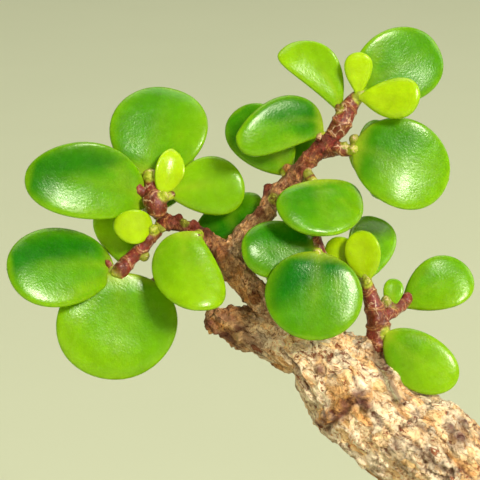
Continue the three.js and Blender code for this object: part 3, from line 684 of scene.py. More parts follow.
def leaf_paint():
    """Waxy flesh that light enters, with faint pores, low waves and fine pebbling."""
    p = Paint("leaf_flesh", Coat_Weight=0.1, Coat_Roughness=0.1, Coat_Tint=(1, 1, 0.9, 1),
              Subsurface_Weight=0.25, Subsurface_Scale=0.0012, Subsurface_Radius=(0.6, 1.0, 0.08),
              Specular_IOR_Level=0.34, Specular_Tint=(0.97, 1.0, 0.76, 1))
    colour = p.shaded(p.attribute("tint"), p.ranged(p.noise(2.0, 4, 0.6), 0.3, 0.7, 0.88, 1.12))
    colour = p.mixed(colour, (0.4, 0.7, 0.03), p.ranged(p.spots(0.5), 0.06, 0.16, 0.1, 0.0))
    wave = p.bump(p.noise(3.6, 1), 0.08)
    pebble = p.bump(p.noise(0.42, 2), 0.038, wave)
    rough = p.ranged(p.noise(1.1, 3), 0.3, 0.7, 0.2, 0.32)
    return p.finish(colour, rough, pebble)


def twig_paint():
    """A red skin with flecks and fine pale seams."""
    p = Paint("twig_skin", Coat_Weight=0.15, Coat_Roughness=0.3)
    colour = p.shaded(p.attribute("tint"), p.ranged(p.noise(0.5, 4, 0.6), 0.3, 0.7, 0.6, 1.35))
    colour = p.mixed(colour, (0.46, 0.26, 0.1), p.ranged(p.noise(0.5, 3), 0.6, 0.66, 0.0, 0.5))
    relief = p.bump(p.noise(0.4, 4, 0.65), 0.14)
    p.ruffle(1.0, 0.6)
    seams = p.ranged(p.spots(1.9, "DISTANCE_TO_EDGE"), 0.015, 0.055, 1.0, 0.0)
    seams = p.times(seams, p.ranged(p.noise(1.5), 0.47, 0.57, 0.0, 0.7))
    colour = p.mixed(colour, (0.78, 0.52, 0.3), seams)
    return p.finish(colour, p.ranged(p.noise(0.6), 0.3, 0.7, 0.35, 0.6), relief)


def bark_paint(name, turn, size):
    """Flaky bark on a limb turned so many degrees from upright, with its marks scaled by size."""
    p = Paint(name, Specular_IOR_Level=0.45)
    streak = p.ranged(p.noise(1.6 * size, 3, 0.6, at=p.leaning(turn, 7)), 0.56, 0.64, 0.0, 0.5)
    p.place = p.leaning(turn, 1.45)
    fine = p.noise(0.45, 5, 0.7)
    p.ruffle(2.4 * size, 1.3 * size)
    p.ruffle(0.7 * size, 0.3 * size)
    flakes = [p.facets(each * size) for each in (3.6, 1.7, 0.75)]
    layer, edge = p.layers(p.noise(4.0 * size, 4, 0.6), 8)
    pits = p.ranged(p.noise(1.9 * size, 4, 0.68), 0.345, 0.415, 1.0, 0.0)
    specks = p.ranged(p.noise(0.55 * size, 2, 0.6), 0.62, 0.68, 0.0, 0.75)
    gains = [p.ranged(flake[1], 0.0, 1.0, low, high)
             for flake, (low, high) in zip(flakes, ((0.96, 1.24), (0.86, 1.2), (0.88, 1.16)))]
    gain = p.times(p.times(gains[0], gains[1]), gains[2])
    colour = p.stained(
        p.shaded(p.attribute("tint"), gain),
        ((1.0, 0.82, 0.56), p.ranged(flakes[1][2], 0.6, 0.95, 0.0, 0.9)),
        ((0.8, 0.55, 0.3), streak),
        ((0.62, 0.36, 0.14), p.times(edge, p.ranged(fine, 0.4, 0.6, 0.2, 1.0))),
        ((0.42, 0.19, 0.13), pits),
        ((0.45, 0.24, 0.16), specks),
    )
    height = p.times(layer, 2.0 * size)
    for flake, part in zip(flakes, (0.55, 0.6, 0.35)):
        height = p.math("ADD", height, p.times(flake[0], part))
    height = p.math("SUBTRACT", height, p.times(pits, 0.3 * size))
    height = p.math("SUBTRACT", height, p.times(streak, 0.3 * size))
    height = p.math("ADD", height, p.times(fine, 0.3))
    return p.finish(colour, p.ranged(fine, 0.3, 0.7, 0.42, 0.75), p.bump(height, 1.0))


def grain_paint():
    """Rough baked clay."""
    p = Paint("soil_grains")
    fine = p.noise(0.4, 4, 0.65)
    colour = p.shaded(p.attribute("tint"), p.ranged(fine, 0.3, 0.7, 0.65, 1.25))
    return p.finish(colour, p.ranged(fine, 0.3, 0.7, 0.85, 1.0), p.bump(p.noise(0.35, 4, 0.7), 0.12))


def soil_paint():
    """Dark earth under the grains."""
    p = Paint("soil_bed")
    lumps = p.noise(1.6, 5, 0.65)
    colour = p.mixed((0.035, 0.02, 0.012), (0.13, 0.07, 0.035), p.ranged(lumps, 0.35, 0.65))
    return p.finish(colour, p.ranged(lumps, 0.3, 0.7, 0.88, 1.0), p.bump(p.noise(0.9, 5, 0.7), 0.4))


def pot_paint():
    """Unglazed stoneware with sand, iron specks, turning marks and paler worn edges."""
    p = Paint("stoneware")
    clouds = p.ranged(p.noise(18, 4, 0.6), 0.35, 0.65)
    colour = p.mixed((0.085, 0.04, 0.026), (0.16, 0.075, 0.045), clouds)
    colour = p.mixed(colour, (0.32, 0.2, 0.12), p.ranged(p.spots(1.1), 0.05, 0.16, 0.8, 0.0))
    colour = p.mixed(colour, (0.025, 0.014, 0.01), p.ranged(p.noise(0.8, 2), 0.66, 0.74, 0.0, 0.85))
    colour = p.mixed(colour, (0.3, 0.17, 0.105), p.attribute("worn", "Fac"))
    level = p.node("Mapping", {"Vector": p.place, "Scale": (0.08, 0.08, 1.0)}).outputs[0]
    rings = p.bump(p.noise(2.2, 2, 0.4, level), 0.14)
    grog = p.bump(p.noise(0.5, 4, 0.65), 0.07, rings)
    return p.finish(colour, p.ranged(p.noise(3, 3), 0.3, 0.7, 0.55, 0.8), grog)


def floor_paint():
    """A plain pale surface."""
    p = Paint("floor", Roughness=0.9, Specular_IOR_Level=0.2)
    colour = p.mixed((0.58, 0.605, 0.4), (0.6, 0.625, 0.415), p.noise(60, 3))
    return p.finish(colour, None, p.bump(p.noise(1.5, 3), 0.02))


LEAF, TWIG = leaf_paint(), twig_paint()
BARK, THIN_BARK = bark_paint("bark", -43, 1.0), bark_paint("thin_bark", 0, 0.5)
GRAINS, SOIL, POT, FLOOR = grain_paint(), soil_paint(), pot_paint(), floor_paint()

# Colours
CREAM, TAN, BROWN, DARK = srgb(254, 230, 190), srgb(244, 200, 138), srgb(156, 94, 46), srgb(100, 56, 30)
PURPLE, SAGE, AMBER = srgb(112, 60, 52), srgb(176, 174, 132), srgb(226, 164, 88)
LIMB, RUST, RED = srgb(214, 162, 100), srgb(108, 42, 16), srgb(136, 42, 32)
STRAW, OLIVE = srgb(216, 158, 88), srgb(156, 168, 44)
LEAF_SHADE, LEAF_DARK, LEAF_MID = srgb(2, 124, 0), srgb(24, 128, 2), srgb(112, 188, 2)
LEAF_YOUNG_AND_LIT, LEAF_RIM, LEAF_STALK = srgb(202, 240, 14), srgb(168, 216, 18), srgb(190, 212, 44)
LEAF_DEPTH = 0.7


# Bark and twigs
PATTERN_SHIFT = 13.7


def bark(co, stems, ages, seed=0):
    """Relief of flaky plates and cracks for a skin's points, and its colours, places and ages.

    ages holds each stem's youth at its root and tip: 0 is old pale bark, 1 a young red twig."""
    number, local, radius = along_stems(co, stems)
    ends = np.array([s.arc[-1] for s in stems])[number]
    youth = np.array(ages)[number]
    age = youth[:, 0] + (youth[:, 1] - youth[:, 0]) * np.clip(local[:, 2] / ends, 0, 1)
    size = 0.85 + 0.3 * radius
    run = np.zeros(len(co))
    for i, stem in enumerate(stems):
        step = np.diff(stem.arc) / (0.85 + 0.15 * (stem.radius[1:] + stem.radius[:-1]))
        unrolled = np.concatenate([[0], np.cumsum(step)])
        mine = number == i
        run[mine] = np.interp(local[mine, 2], stem.arc, unrolled) + PATTERN_SHIFT * i
    plain = np.stack([local[:, 0] / size, local[:, 1] / size, run * 0.6], 1)
    q = plain + 0.34 * warp(plain * 1.3, seed + 20) + 0.1 * warp(plain * 4.7, seed + 30)
    first, second, value = cells(q * np.array([1, 1, 0.8]), seed)
    crack = bell(second - first, 0.07) * ramp(fractal(q * 0.7, 2, seed + 2), -0.35, 0.35)
    broad = fractal(q * 0.95, 4, seed + 4)
    steps = broad * 5 + 0.9 * value
    part = steps - np.floor(steps)
    flake = (np.floor(steps) + ramp(part, 0.0, 0.22)) / 5
    riser = bell(part - 0.08, 0.1)
    crumb = fractal(q * 5.3, 3, seed + 5)
    grain = fractal(plain * 11, 2, seed + 6)
    depth = 1.05 * (radius / 8) ** 0.75 * (1 - 0.75 * age)
    rough = ramp(-flake + 0.4 * crumb, -0.1, 0.45)
    crumbs = (0.12 + 0.42 * rough) * crumb
    height = depth * (1.15 * flake + 0.3 * broad - 0.55 * crack + crumbs + 0.1 * grain - 0.25)
    height += 0.07 * radius * fractal(co / 3.6, 2, seed + 8)
    hue = fractal(q * 0.8 + 7, 3, seed + 9)
    streak = fractal(plain * np.array([3.2, 3.2, 0.8]), 3, seed + 12)
    old = coated(
        blend(TAN, CREAM, ramp(flake + 0.25 * crumb + 0.2 * (value - 0.5), -0.35, 0.25)),
        (AMBER, 0.7 * ramp(hue + 0.3 * crumb, 0.1, 0.5)),
        (BROWN, 0.6 * rough * ramp(-crumb, -0.25, 0.35)),
        (PURPLE, 0.45 * ramp(-hue + 0.3 * crumb, 0.35, 0.75)),
        # painted shade: darker brown along the steps between flake layers
        (BROWN, 0.6 * riser * ramp(crumb, -0.4, 0.3)),
        (DARK, 0.85 * crack),
        (DARK, 0.6 * ramp(-crumb, 0.4, 0.85)),
        (blend(LIMB, BROWN, ramp(-crumb, -0.2, 0.45)), 0.85 * ramp(age, 0.1, 0.4)),
    )
    young = coated(
        blend(RUST, RED, ramp(streak, -0.5, 0.5)),
        (DARK, 0.55 * ramp(fractal(q * 1.9, 3, seed + 14), 0.05, 0.7)),
        (STRAW, 0.5 * ramp(crumb + 0.6 * riser, 0.45, 0.95)),
    )
    return height, blend(old, young, ramp(age, 0.4, 0.9)), (number, local, radius, age)


def front_spot(flat, right, up):
    """The skin's foremost point, seen from the viewpoint, at right and up."""
    near = np.hypot(flat[:, 0] - right, flat[:, 1] - up)
    close = near < max(0.6, near.min() + 0.2)
    index = np.flatnonzero(close)
    return index[flat[index, 2].argmin()]


def near_line(co, points):
    """Each point's distance to a run of points."""
    best = np.full(len(co), 1e9)
    for a, b in zip(points[:-1], points[1:]):
        span = b - a
        t = np.clip(((co - a) @ span) / span.dot(span), 0, 1)
        best = np.minimum(best, np.linalg.norm(co - a - t[:, None] * span, axis=1))
    return best


# Marks on the trunk, from the viewpoint: nodules of right, up and size, then lines
NODULES = [
    (36.9, -32.5, 1.2), (37.8, -30.2, 0.9), (35.4, -30.6, 0.7), (12.7, -21.9, 0.75), (21.6, -27.4, 0.8),
]
SCAR = [(13.2, -30.6), (14.8, -29.4), (16.4, -28), (17.8, -26.6), (19.2, -25.6), (20.8, -25.6)]
SCAR_EDGE = [(13.9, -32.2), (15.3, -30.8), (16.9, -29.4), (18.4, -27.6), (19.4, -26.6), (20.9, -26.5)]
GROOVE = [(23.6, -17.4), (24.2, -20.4), (25.2, -23.4), (26.8, -26.2)]
CRACKS = [
    [(22.6, -28.6), (24.1, -31.3), (25.8, -34.3)], [(30.1, -30.9), (31, -34.4), (32.4, -38.3)],
    [(15.8, -33.8), (18.8, -36.5), (20.4, -39.6)], [(18.6, -21.6), (19.6, -24.4)],
    [(34.2, -33.6), (35.6, -36.2), (36.2, -39.4)], [(26.4, -28.4), (29, -29.8), (31.4, -31.2)],
    [(6.6, -18.5), (9.4, -21.8), (12, -26.4)],
]


def root_stem(angle, reach):
    """A root that runs out from the trunk's foot and falls away."""
    turn = math.radians(angle)
    path = [ROOT_CENTRE + np.array([reach * part * math.cos(turn), reach * part * math.sin(turn), rise])
            for part, rise, _ in ROOT_FALL]
    return Stem(unplace(np.array(path)), [row[2] for row in ROOT_FALL], TRUNK_STEP)


def trunk():
    """The trunk with its shoulder and roots: flaky bark, a crumbly end, scar, groove and cracks."""
    stems = limbs((TRUNK, TRUNK_SHOULDER), TRUNK_STEP) + [root_stem(*root) for root in ROOTS]
    co, faces, normals = skin_of([s.mesh(TRUNK_SIDES) for s in stems], TRUNK_VOXEL, TRUNK_SMOOTHING)
    height, tint, (number, local, _, _) = bark(co, stems, [(0, 0)] * len(stems))
    flat = layout(co)

    def from_line(points):
        return near_line(co, [co[front_spot(flat, *p)] for p in points])

    left = stems[0].arc[-1] - local[:, 2]
    end = np.where(number == 0, 1 - ramp(left, 3, 13), 0)
    crumbs = fractal(co / 1.3, 3, 31)
    height += end * (0.75 * crumbs + 0.45 * fractal(co / 0.6, 2, 32))
    tint = coated(
        tint,
        (blend(0.85 * BROWN, LIMB, ramp(crumbs, -0.3, 0.55)), 0.9 * end),
        (blend(PURPLE, DARK, 0.4), 0.85 * end * ramp(fractal(co / 1.8, 2, 33), 0.0, 0.3)),
    )
    for right, up, size in NODULES:
        far = np.linalg.norm(co - co[front_spot(flat, right, up)], axis=1) / size
        height += 0.7 * size * bell(far, 1) * (1 + 0.6 * crumbs) - 0.3 * size * bell(far - 1.35, 0.35)
        # purple nodule; the dark ring round its foot is painted shade
        tint = coated(tint, (PURPLE, 0.9 * bell(far, 1.05, 4)), (DARK, 0.6 * bell(far - 1.3, 0.3)))
    wobble = 0.35 * fractal(co / 1.1, 2, 41)
    ridge = bell(from_line(SCAR) + wobble, 1.15, 4)
    pitting = fractal(co / 0.75, 3, 42)
    height += ridge * (0.75 + 0.6 * pitting)
    tint = blend(tint, blend(PURPLE, AMBER, ramp(pitting, -0.15, 0.45)), 0.85 * ridge)
    # along the scar's lower edge: the band's purple-brown is the scar's own colour, its darkness is painted
    # shade under the ridge
    far = from_line(SCAR_EDGE) + 0.7 * wobble
    height -= 0.65 * bell(far, 0.38)
    height += 0.3 * bell(far - 1.1, 0.5) * (1 - ridge)
    tint = blend(tint, blend(PURPLE, DARK, 0.5), 0.95 * bell(far, 0.42))
    far = from_line(GROOVE)
    height -= 0.8 * bell(far, 1.1)
    # painted shade darkens the groove, with a pale grey-green strip along its middle
    tint = coated(tint, (DARK, 0.8 * bell(far, 1.5, 4)), (SAGE, 0.8 * bell(far, 0.5)))
    for points in CRACKS:
        far = from_line(points) + wobble
        height -= 0.4 * bell(far, 0.32)
        height += 0.22 * bell(far - 0.75, 0.4)
        tint = blend(tint, DARK, 0.75 * bell(far, 0.28))
    tint = blend(tint, BROWN, 0.45 * ramp(-co[:, 2], -44, -36))
    co = co + normals * height[:, None]
    return trimmed(make("trunk_bark", co, faces, BARK, True, tint), TRUNK_FOOT_LEVEL)


dress(trunk(), "trunk")


# Buds, snags and old leaf scars: right, up, back, size and colour
BRANCH_KNOBS = [
    (0.2, 0.9, 0.2, 1.0, RUST), (-7.7, 2.2, -0.2, 1.1, RED), (-10.2, 3.5, -0.2, 0.95, RUST),
    (5.6, 6.9, -0.8, 0.95, OLIVE), (7.9, 12, 0.4, 0.8, STRAW), (1.3, -0.8, -0.9, 0.9, RUST),
    (-3.2, -2.4, -1.3, 1.1, BROWN), (3.2, 4.6, -0.8, 0.8, RUST), (-5.6, 1.2, -0.6, 0.9, RUST),
    (2.6, -9.6, -1.2, 0.9, BROWN), (4.7, 8.6, 0.2, 0.85, RUST), (-9.2, 2.9, -0.9, 0.7, OLIVE),
    (13.9, 16.6, -0.6, 1.0, RUST), (10.2, 11.6, -0.7, 0.8, RUST),
]
TWIG_KNOBS = {
    "shoot_left_upper": [
        (-17, 8.6, -0.4, 0.85, RED), (-13.2, 2.4, -0.4, 1.2, OLIVE), (-15.2, 6.4, -1, 1.1, RUST),
        (-13, 5.6, -1.2, 0.9, RUST), (-11.6, 7.3, -0.8, 0.7, LEAF_STALK)],
    "shoot_left_lower": [
        (-22, -4, -0.4, 0.8, RED), (-20.1, -4.7, -1, 1.0, RUST), (-20.3, -6.8, -0.2, 0.6, RUST),
        (-16, -2.7, -0.3, 0.9, OLIVE), (-15.4, 0, -1, 0.8, RUST), (-21.6, -5.4, -0.5, 0.7, OLIVE)],
    "shoot_right_tip": [
        (20.1, 24.2, -0.5, 1.0, OLIVE), (16.5, 21.9, 0, 0.8, RUST), (16.4, 18.6, -1.1, 0.9, RUST)],
    "shoot_right_side": [(19, 16.7, -0.2, 0.9, OLIVE), (17.4, 15.6, -0.6, 0.8, OLIVE)],
    "shoot_side": [
        (27.8, -9.8, 6.4, 1.1, RED), (24.3, -10.2, 2.8, 0.95, OLIVE), (22.8, -13.4, 0, 1.1, RUST),
        (20.8, -6.2, 0.4, 0.9, OLIVE), (25.6, -11.2, 3.4, 0.7, RUST)],
    "spur_left_inner": [(-7.3, 0.7, -1.2, 0.8, OLIVE)],
    "spur_right_front": [(11.4, 10.9, -1.2, 0.9, OLIVE)],
}
KNOB_REACH, SOCKET_RADIUS = 1.15, 0.78


def spot_of(p):
    """A layout point in the object's frame."""
    return place(seen(p))[0]


def knobbed(co, tint, knobs):
    """Gives the skin round each knob its own colour, with painted shade in the groove at its foot."""
    for *p, size, colour in knobs:
        far = np.linalg.norm(co - spot_of(p), axis=1) / size
        cover = 1 - ramp(far, KNOB_REACH * 0.85, KNOB_REACH * 1.1)
        # painted shade in the groove round the knob's foot
        tint = coated(tint, (DARK, 0.5 * bell(far - 1.25, 0.2)), (colour, 0.8 * cover))
    return tint


def knob_parts(knobs):
    return [ball(spot_of(k[:3]), k[3] * 0.95, (1, 0.95, 1.1)) for k in knobs]


def ringed(local, radius, height, tint, gap, seed):
    """Raised pale rings round a twig, where old leaves stood."""
    wave = 0.35 * np.sin(np.arctan2(local[:, 1], local[:, 0]) * 2 + local[:, 2])
    turn = (local[:, 2] + wave) / gap + 0.13 * seed
    far = np.abs(turn - np.round(turn)) * gap
    return height + 0.12 * radius * bell(far, 0.3), blend(tint, STRAW, 0.65 * bell(far - 0.2, 0.08))


def branches():
    """The forked branches, young and red towards their ends."""
    stems = limbs(BRANCHES, BRANCH_STEP)
    parts = [s.mesh(BRANCH_SIDES) for s in stems] + knob_parts(BRANCH_KNOBS)
    co, faces, normals = skin_of(parts, BRANCH_VOXEL, BRANCH_SMOOTHING)
    height, tint, (_, local, radius, age) = bark(co, stems, [(0.1, 0.85), (0.25, 0.9), (0.6, 0.85)], 50)
    height, ringed_tint = ringed(local, radius, height, tint, 3.7, 1)
    tint = blend(tint, ringed_tint, ramp(age, 0.4, 0.7))
    height += 0.1 * radius * fractal(co / 0.8, 3, 61)
    tint = knobbed(co, tint, BRANCH_KNOBS)
    return make("branches_bark", co + normals * height[:, None], faces, THIN_BARK, True, tint)


dress(branches(), "trunk")


def twig(name, lines, leaves, seed):
    """A shoot's twigs, with their knobs and a swelling under each leaf stalk."""
    stems = limbs(lines, TWIG_STEP)
    knobs = TWIG_KNOBS.get(name, [])
    sockets = [spot_of(row[0]) for row in leaves]
    parts = [s.mesh(TWIG_SIDES) for s in stems] + knob_parts(knobs)
    parts += [ball(spot, SOCKET_RADIUS) for spot in sockets]
    co, faces, normals = skin_of(parts, TWIG_VOXEL, TWIG_SMOOTHING)
    height, tint, (_, local, radius, _) = bark(co, stems, [(0.85, 1)] * len(stems), 70 + seed)
    height, tint = ringed(local, radius, height, tint, 2.9, seed)
    for spot in sockets:
        far = np.linalg.norm(co - spot, axis=1)
        tint = blend(tint, LEAF_STALK, 0.75 * (1 - ramp(far, 0.8, 1.5)))
    tint = knobbed(co, tint, knobs)
    piece = name.replace("shoot", "twigs").replace("spur", "twig")
    return make(piece, co + normals * height[:, None], faces, TWIG, True, tint)


# Leaves
LEAF_THICKNESS, STALK_HALF_WIDTH, STALK_HALF_DEPTH, SMALL_LEAF_WIDTH = 2.0, 0.62, 0.58, 7.0
LEAF_ROWS, LEAF_SIDES, EDGE_FULLNESS = 50, 32, 2.5
RIB_DEPTH, WAVE_SHARE, STALK_SINK = 0.16, 0.03, 0.3


def half_width(t, half, flank, sharp):
    """One side's width along a leaf, with its stalk."""
    peak = flank / (flank + sharp)
    blade = half * t**flank * (1 - t) ** sharp / (peak**flank * (1 - peak) ** sharp)
    stalk = STALK_HALF_WIDTH * np.maximum(0, 1 - t) ** 0.5
    return (blade**3 + stalk**3) ** (1 / 3)


def leaf(row, seed):
    """A fleshy leaf: a pad with round edges, full or wedge-shaped flanks and a short stalk."""
    base, tip, width, bend, right, left, sharp, roll, cup, youth, *shading = row
    root = seen(base)[0]
    axis = seen(tip)[0] - root
    length = np.linalg.norm(axis)
    axis = axis / length
    across = np.cross(axis, (0, 0, 1.0))
    across /= np.linalg.norm(across)
    turn = math.radians(roll)
    side = across * math.cos(turn) - np.cross(axis, across) * math.sin(turn)
    normal = np.cross(axis, side)
    t = ((1 - np.cos(np.pi * np.linspace(0, 1, LEAF_ROWS))) / 2)[:-1, None]
    right_sharp, left_sharp = sharp if isinstance(sharp, tuple) else (sharp, sharp)
    on_right = half_width(t, width / 2, right, right_sharp)
    on_left = half_width(t, width / 2, left, left_sharp)
    middle = bend * 4 * t * (1 - t) + (on_right - on_left) / 2
    angle = (np.arange(LEAF_SIDES) * 2 * math.pi / LEAF_SIDES)[None]
    u, v = (np.sign(c) * np.abs(c) ** (2 / EDGE_FULLNESS) for c in (np.cos(angle), np.sin(angle)))
    thick = 0.2 * width + 0.35 if width < SMALL_LEAF_WIDTH else LEAF_THICKNESS
    deep = STALK_HALF_DEPTH + (thick / 2 - STALK_HALF_DEPTH) * ramp(t, 0, 0.2)
    deep = deep * (1 - np.clip((t - 0.5) / 0.5, 0, 1) ** 5) ** 0.5
    y = middle + (on_right + on_left) / 2 * u
    dish = cup * ((2 * (y - bend) / width) ** 2 - 0.4) - 0.8 * cup * (2 * t - 1) ** 2
    rib = -RIB_DEPTH * bell(y - middle, 0.09 * width) * np.exp(-t / 0.4) * ramp(t, 0.05, 0.2)

    def unevenness(a, b, c, noise_seed):
        grid = np.stack(np.broadcast_arrays(a, b, c), -1)
        return value_noise(grid.reshape(-1, 3), noise_seed).reshape(y.shape)

    wave = WAVE_SHARE * width * unevenness(t * 2.2, y / width * 2.2, seed * 3.7, 91)
    z = deep * v + dish + rib * np.abs(v) + wave
    p = root + t[..., None] * length * axis + y[..., None] * side + z[..., None] * normal
    end_dish = -0.4 * cup - 0.8 * cup + cup * (2 * bend / width) ** 2
    verts, faces = lathe(p, root - axis * STALK_SINK, root + axis * length + normal * end_dish)

    def with_ends(values, start, end):
        return np.concatenate([np.broadcast_to(values, y.shape).ravel(), [start, end]])

    along = with_ends(t, 0, 1)
    rim = 1 - (1 - with_ends(np.abs(u), 0, 1) ** 7) * (1 - ramp(along, 0.93, 1.0))
    spine = with_ends(bell(y - middle, 0.4), 0, 0)
    # pale streaks fanning out from the stalk: partly paler veins, partly a painted highlight on the folds
    # by the stalk
    fan = unevenness(np.arctan2(y, t * length + 1.5) * 7, t * 1.5, seed * 5.1, 92)
    fan = with_ends(ramp(fan, 0.05, 0.6), 0, 0) * bell(along - 0.32, 0.22)
    return place(verts), faces, leaf_tint(verts, seed, youth, shading, along, rim, spine, fan)


def leaf_tint(verts, seed, youth, shading, along, rim, spine, fan):
    """Green by youth, with painted shade towards the shaded side, painted light on the other side, and
    paler streaks, spine, rim and stalk; the streaks are partly a painted highlight.
    """
    shade_turn, shade = shading or (0, 0)
    toward = math.radians(shade_turn)
    flat = layout(place(verts))
    centre = (flat.max(0) + flat.min(0)) / 2
    part = (flat - centre) / ((flat.max(0) - flat.min(0)) / 2)
    lean = part[:, 0] * math.cos(toward) + part[:, 1] * math.sin(toward)
    patch = fractal(verts / 4.5, 2, seed + 5)
    green = blend(LEAF_DARK, LEAF_MID, ramp(youth, -0.15, 0.5))
    return LEAF_DEPTH * coated(
        blend(green, LEAF_YOUNG_AND_LIT, ramp(youth, 0.45, 1.0)),
        # the fan of streaks: partly paler veins, partly painted highlight
        (LEAF_STALK, 0.22 * fan),
        # painted shade towards the leaf's shaded side
        (LEAF_SHADE, shade * ramp(lean + 0.2 * patch, -0.12, 0.38)),
        # painted light: the side away from the shaded side is lighter
        (LEAF_YOUNG_AND_LIT, (0.1 + 0.25 * youth) * ramp(-lean + 0.3 * patch, -0.1, 0.9)),
        (LEAF_STALK, 0.22 * spine * (1 - along)),
        (LEAF_RIM, 0.55 * rim),
        (LEAF_STALK, 0.7 * (1 - ramp(along, 0.0, 0.16))),
    )


seed = 0
for name, (lines, leaves) in SHOOTS.items():
    made = [leaf(row, seed + k) for k, row in enumerate(leaves, 1)]
    seed += len(leaves)
    verts, faces = joined([m[:2] for m in made])
    piece = name.replace("shoot", "leaves").replace("spur", "leaf")
    dress(make(piece, verts, faces, LEAF, True, np.vstack([m[2] for m in made])), name)
    dress(twig(name, lines, leaves, seed), name)


# Pot and soil
POT_SIDES, SOIL_SIDES, DRILL_SIDES = 160, 120, 48
FOOT_ROUND, LIP_ROUND, LIP_FILLET = 0.8, 1.0, 0.7
POT_FOOT, WALL_TOP = LIP_OVERHANG + POT_FOOT_INSET, POT_HEIGHT - LIP_HEIGHT
TRUNK_FOOT = spot_of(TRUNK[2][:3])
SOIL_GAP, BED_SINK = 0.3, 0.9
GRAIN_COUNT, LARGE_SHARE, LARGE_GRAINS, SMALL_GRAINS = 1500, 0.7, (0.65, 1.75), (0.4, 0.7)
CROWDED_SIZE, GRAIN_SPACING, GRAIN_SINK = 0.7, 0.72, 0.55
GRAIN_TONES = (150, 98, 62), (122, 80, 52), (92, 60, 42), (64, 50, 44), (176, 150, 116)
GRAIN_COLOURS, GRAIN_SHARES = [srgb(*tone) for tone in GRAIN_TONES], [0.34, 0.26, 0.18, 0.14, 0.08]


def oval_rings(profile, sides):
    """Loops of the pot's plan, for each inset and level."""
    angle = np.arange(sides) * 2 * math.pi / sides
    c, s = np.cos(angle), np.sin(angle)
    shape = (np.abs(c) ** OVAL_POWER + np.abs(s) ** OVAL_POWER) ** (-1 / OVAL_POWER)
    rings = []
    for inset, level in profile:
        x, y = (POT_LENGTH / 2 - inset) * c * shape, (POT_DEPTH / 2 - inset) * s * shape
        rings.append(np.stack([x, y, np.full(sides, level)], 1))
    return np.array(rings)


def inner_inset(level):
    rise = np.clip((level - POT_FLOOR) / (POT_HEIGHT - POT_FLOOR), 0, 1)
    return LIP_OVERHANG + POT_WALL + POT_FOOT_INSET * (1 - rise) ** 1.5


def arc(inset, level, radius, start, end, steps=6):
    """A round stretch of insets and levels about a centre, between two turns in degrees."""
    turns = np.radians(np.linspace(start, end, steps))
    return [(inset + radius * math.cos(a), level + radius * math.sin(a)) for a in turns]


def pot_profile():
    """The pot's section as insets and levels: foot, outer wall, lip, inner wall and floor."""
    profile = [(26, 0), (18, 0), (12, 0)]
    profile += arc(POT_FOOT + FOOT_ROUND, FOOT_ROUND, FOOT_ROUND, -90, -180, 5)
    for rise in np.linspace(0.06, 1, 22):
        level = FOOT_ROUND + (WALL_TOP - 2 * FOOT_ROUND) * rise
        profile.append((LIP_OVERHANG + POT_FOOT_INSET * (1 - rise) ** 1.5, level))
    profile += [(1.7, WALL_TOP - 0.25), (1.1, WALL_TOP + 0.05)]
    profile += arc(LIP_FILLET, WALL_TOP + 0.8, LIP_FILLET, -90, -180, 5)
    profile += [(0, WALL_TOP + 2), (0, POT_HEIGHT - 2)]
    profile += arc(LIP_ROUND, POT_HEIGHT - LIP_ROUND, LIP_ROUND, 180, 90)
    profile += arc(inner_inset(POT_HEIGHT) - LIP_ROUND, POT_HEIGHT - LIP_ROUND, LIP_ROUND, 90, 0)
    for level in np.linspace(POT_HEIGHT - 2, POT_FLOOR + 0.8, 14):
        profile.append((inner_inset(level), level))
    return profile + [(inner_inset(POT_FLOOR) + 0.9, POT_FLOOR), (18, POT_FLOOR), (26, POT_FLOOR)]


def pot():
    """The pot with worn edges, a slightly uneven wall and its two drain holes."""
    profile = pot_profile()
    verts, faces = lathe(oval_rings(profile, POT_SIDES), np.zeros(3), np.array([0, 0, POT_FLOOR]))
    at_lip = [math.exp(-abs(level - POT_HEIGHT) / 0.5) for _, level in profile]
    at_foot = [math.exp(-level / 0.6) * (inset < POT_FOOT + 2) for inset, level in profile]
    worn = np.concatenate([np.repeat(np.maximum(at_lip, at_foot), POT_SIDES), [0, 0]])
    worn = worn * (0.25 + 0.5 * ramp(fractal(verts / 5, 3, 77), -0.4, 0.4))
    wavy = 0.12 * np.abs(fractal(verts * np.array([0.04, 0.04, 0.25]), 2, 78))
    out = verts * np.array([1, 1, 0])
    out /= np.maximum(np.linalg.norm(out, axis=1, keepdims=True), 1e-6)
    on_wall = (verts[:, 2] > 2) & (verts[:, 2] < WALL_TOP)
    obj = make("pot_body", verts - out * (wavy * on_wall)[:, None], faces, POT, True, None, worn=worn)
    turns = np.linspace(0, 2 * math.pi, DRILL_SIDES, endpoint=False)
    disc = DRAIN_RADIUS * np.stack([np.cos(turns), np.sin(turns), np.zeros(DRILL_SIDES)], 1)
    for x in (-DRAIN_OFFSET, DRAIN_OFFSET):
        ends = [np.array([x, 0, level]) for level in (-2.0, POT_FLOOR + 2)]
        drill = make("drill", *lathe(np.array([disc + end for end in ends]), *ends), POT, False)
        cut = obj.modifiers.new("drain", "BOOLEAN")
        cut.operation, cut.object, cut.solver = "DIFFERENCE", drill, "EXACT"
        shape = evaluated(obj)
        obj.modifiers.clear()
        obj.data = shape
        bpy.data.objects.remove(drill)
    return obj


def soil_level(p):
    """The height of the soil at each point's place in plan: a low mound round the trunk's foot."""
    away = np.hypot(p[:, 0] - TRUNK_FOOT[0], p[:, 1] - TRUNK_FOOT[1])
    flat = np.stack([p[:, 0] / 9, p[:, 1] / 9, np.full(len(p), 5.0)], 1)
    return SOIL_EDGE_LEVEL + SOIL_MOUND * bell(away, SOIL_MOUND_REACH) + 0.6 * value_noise(flat, 3)


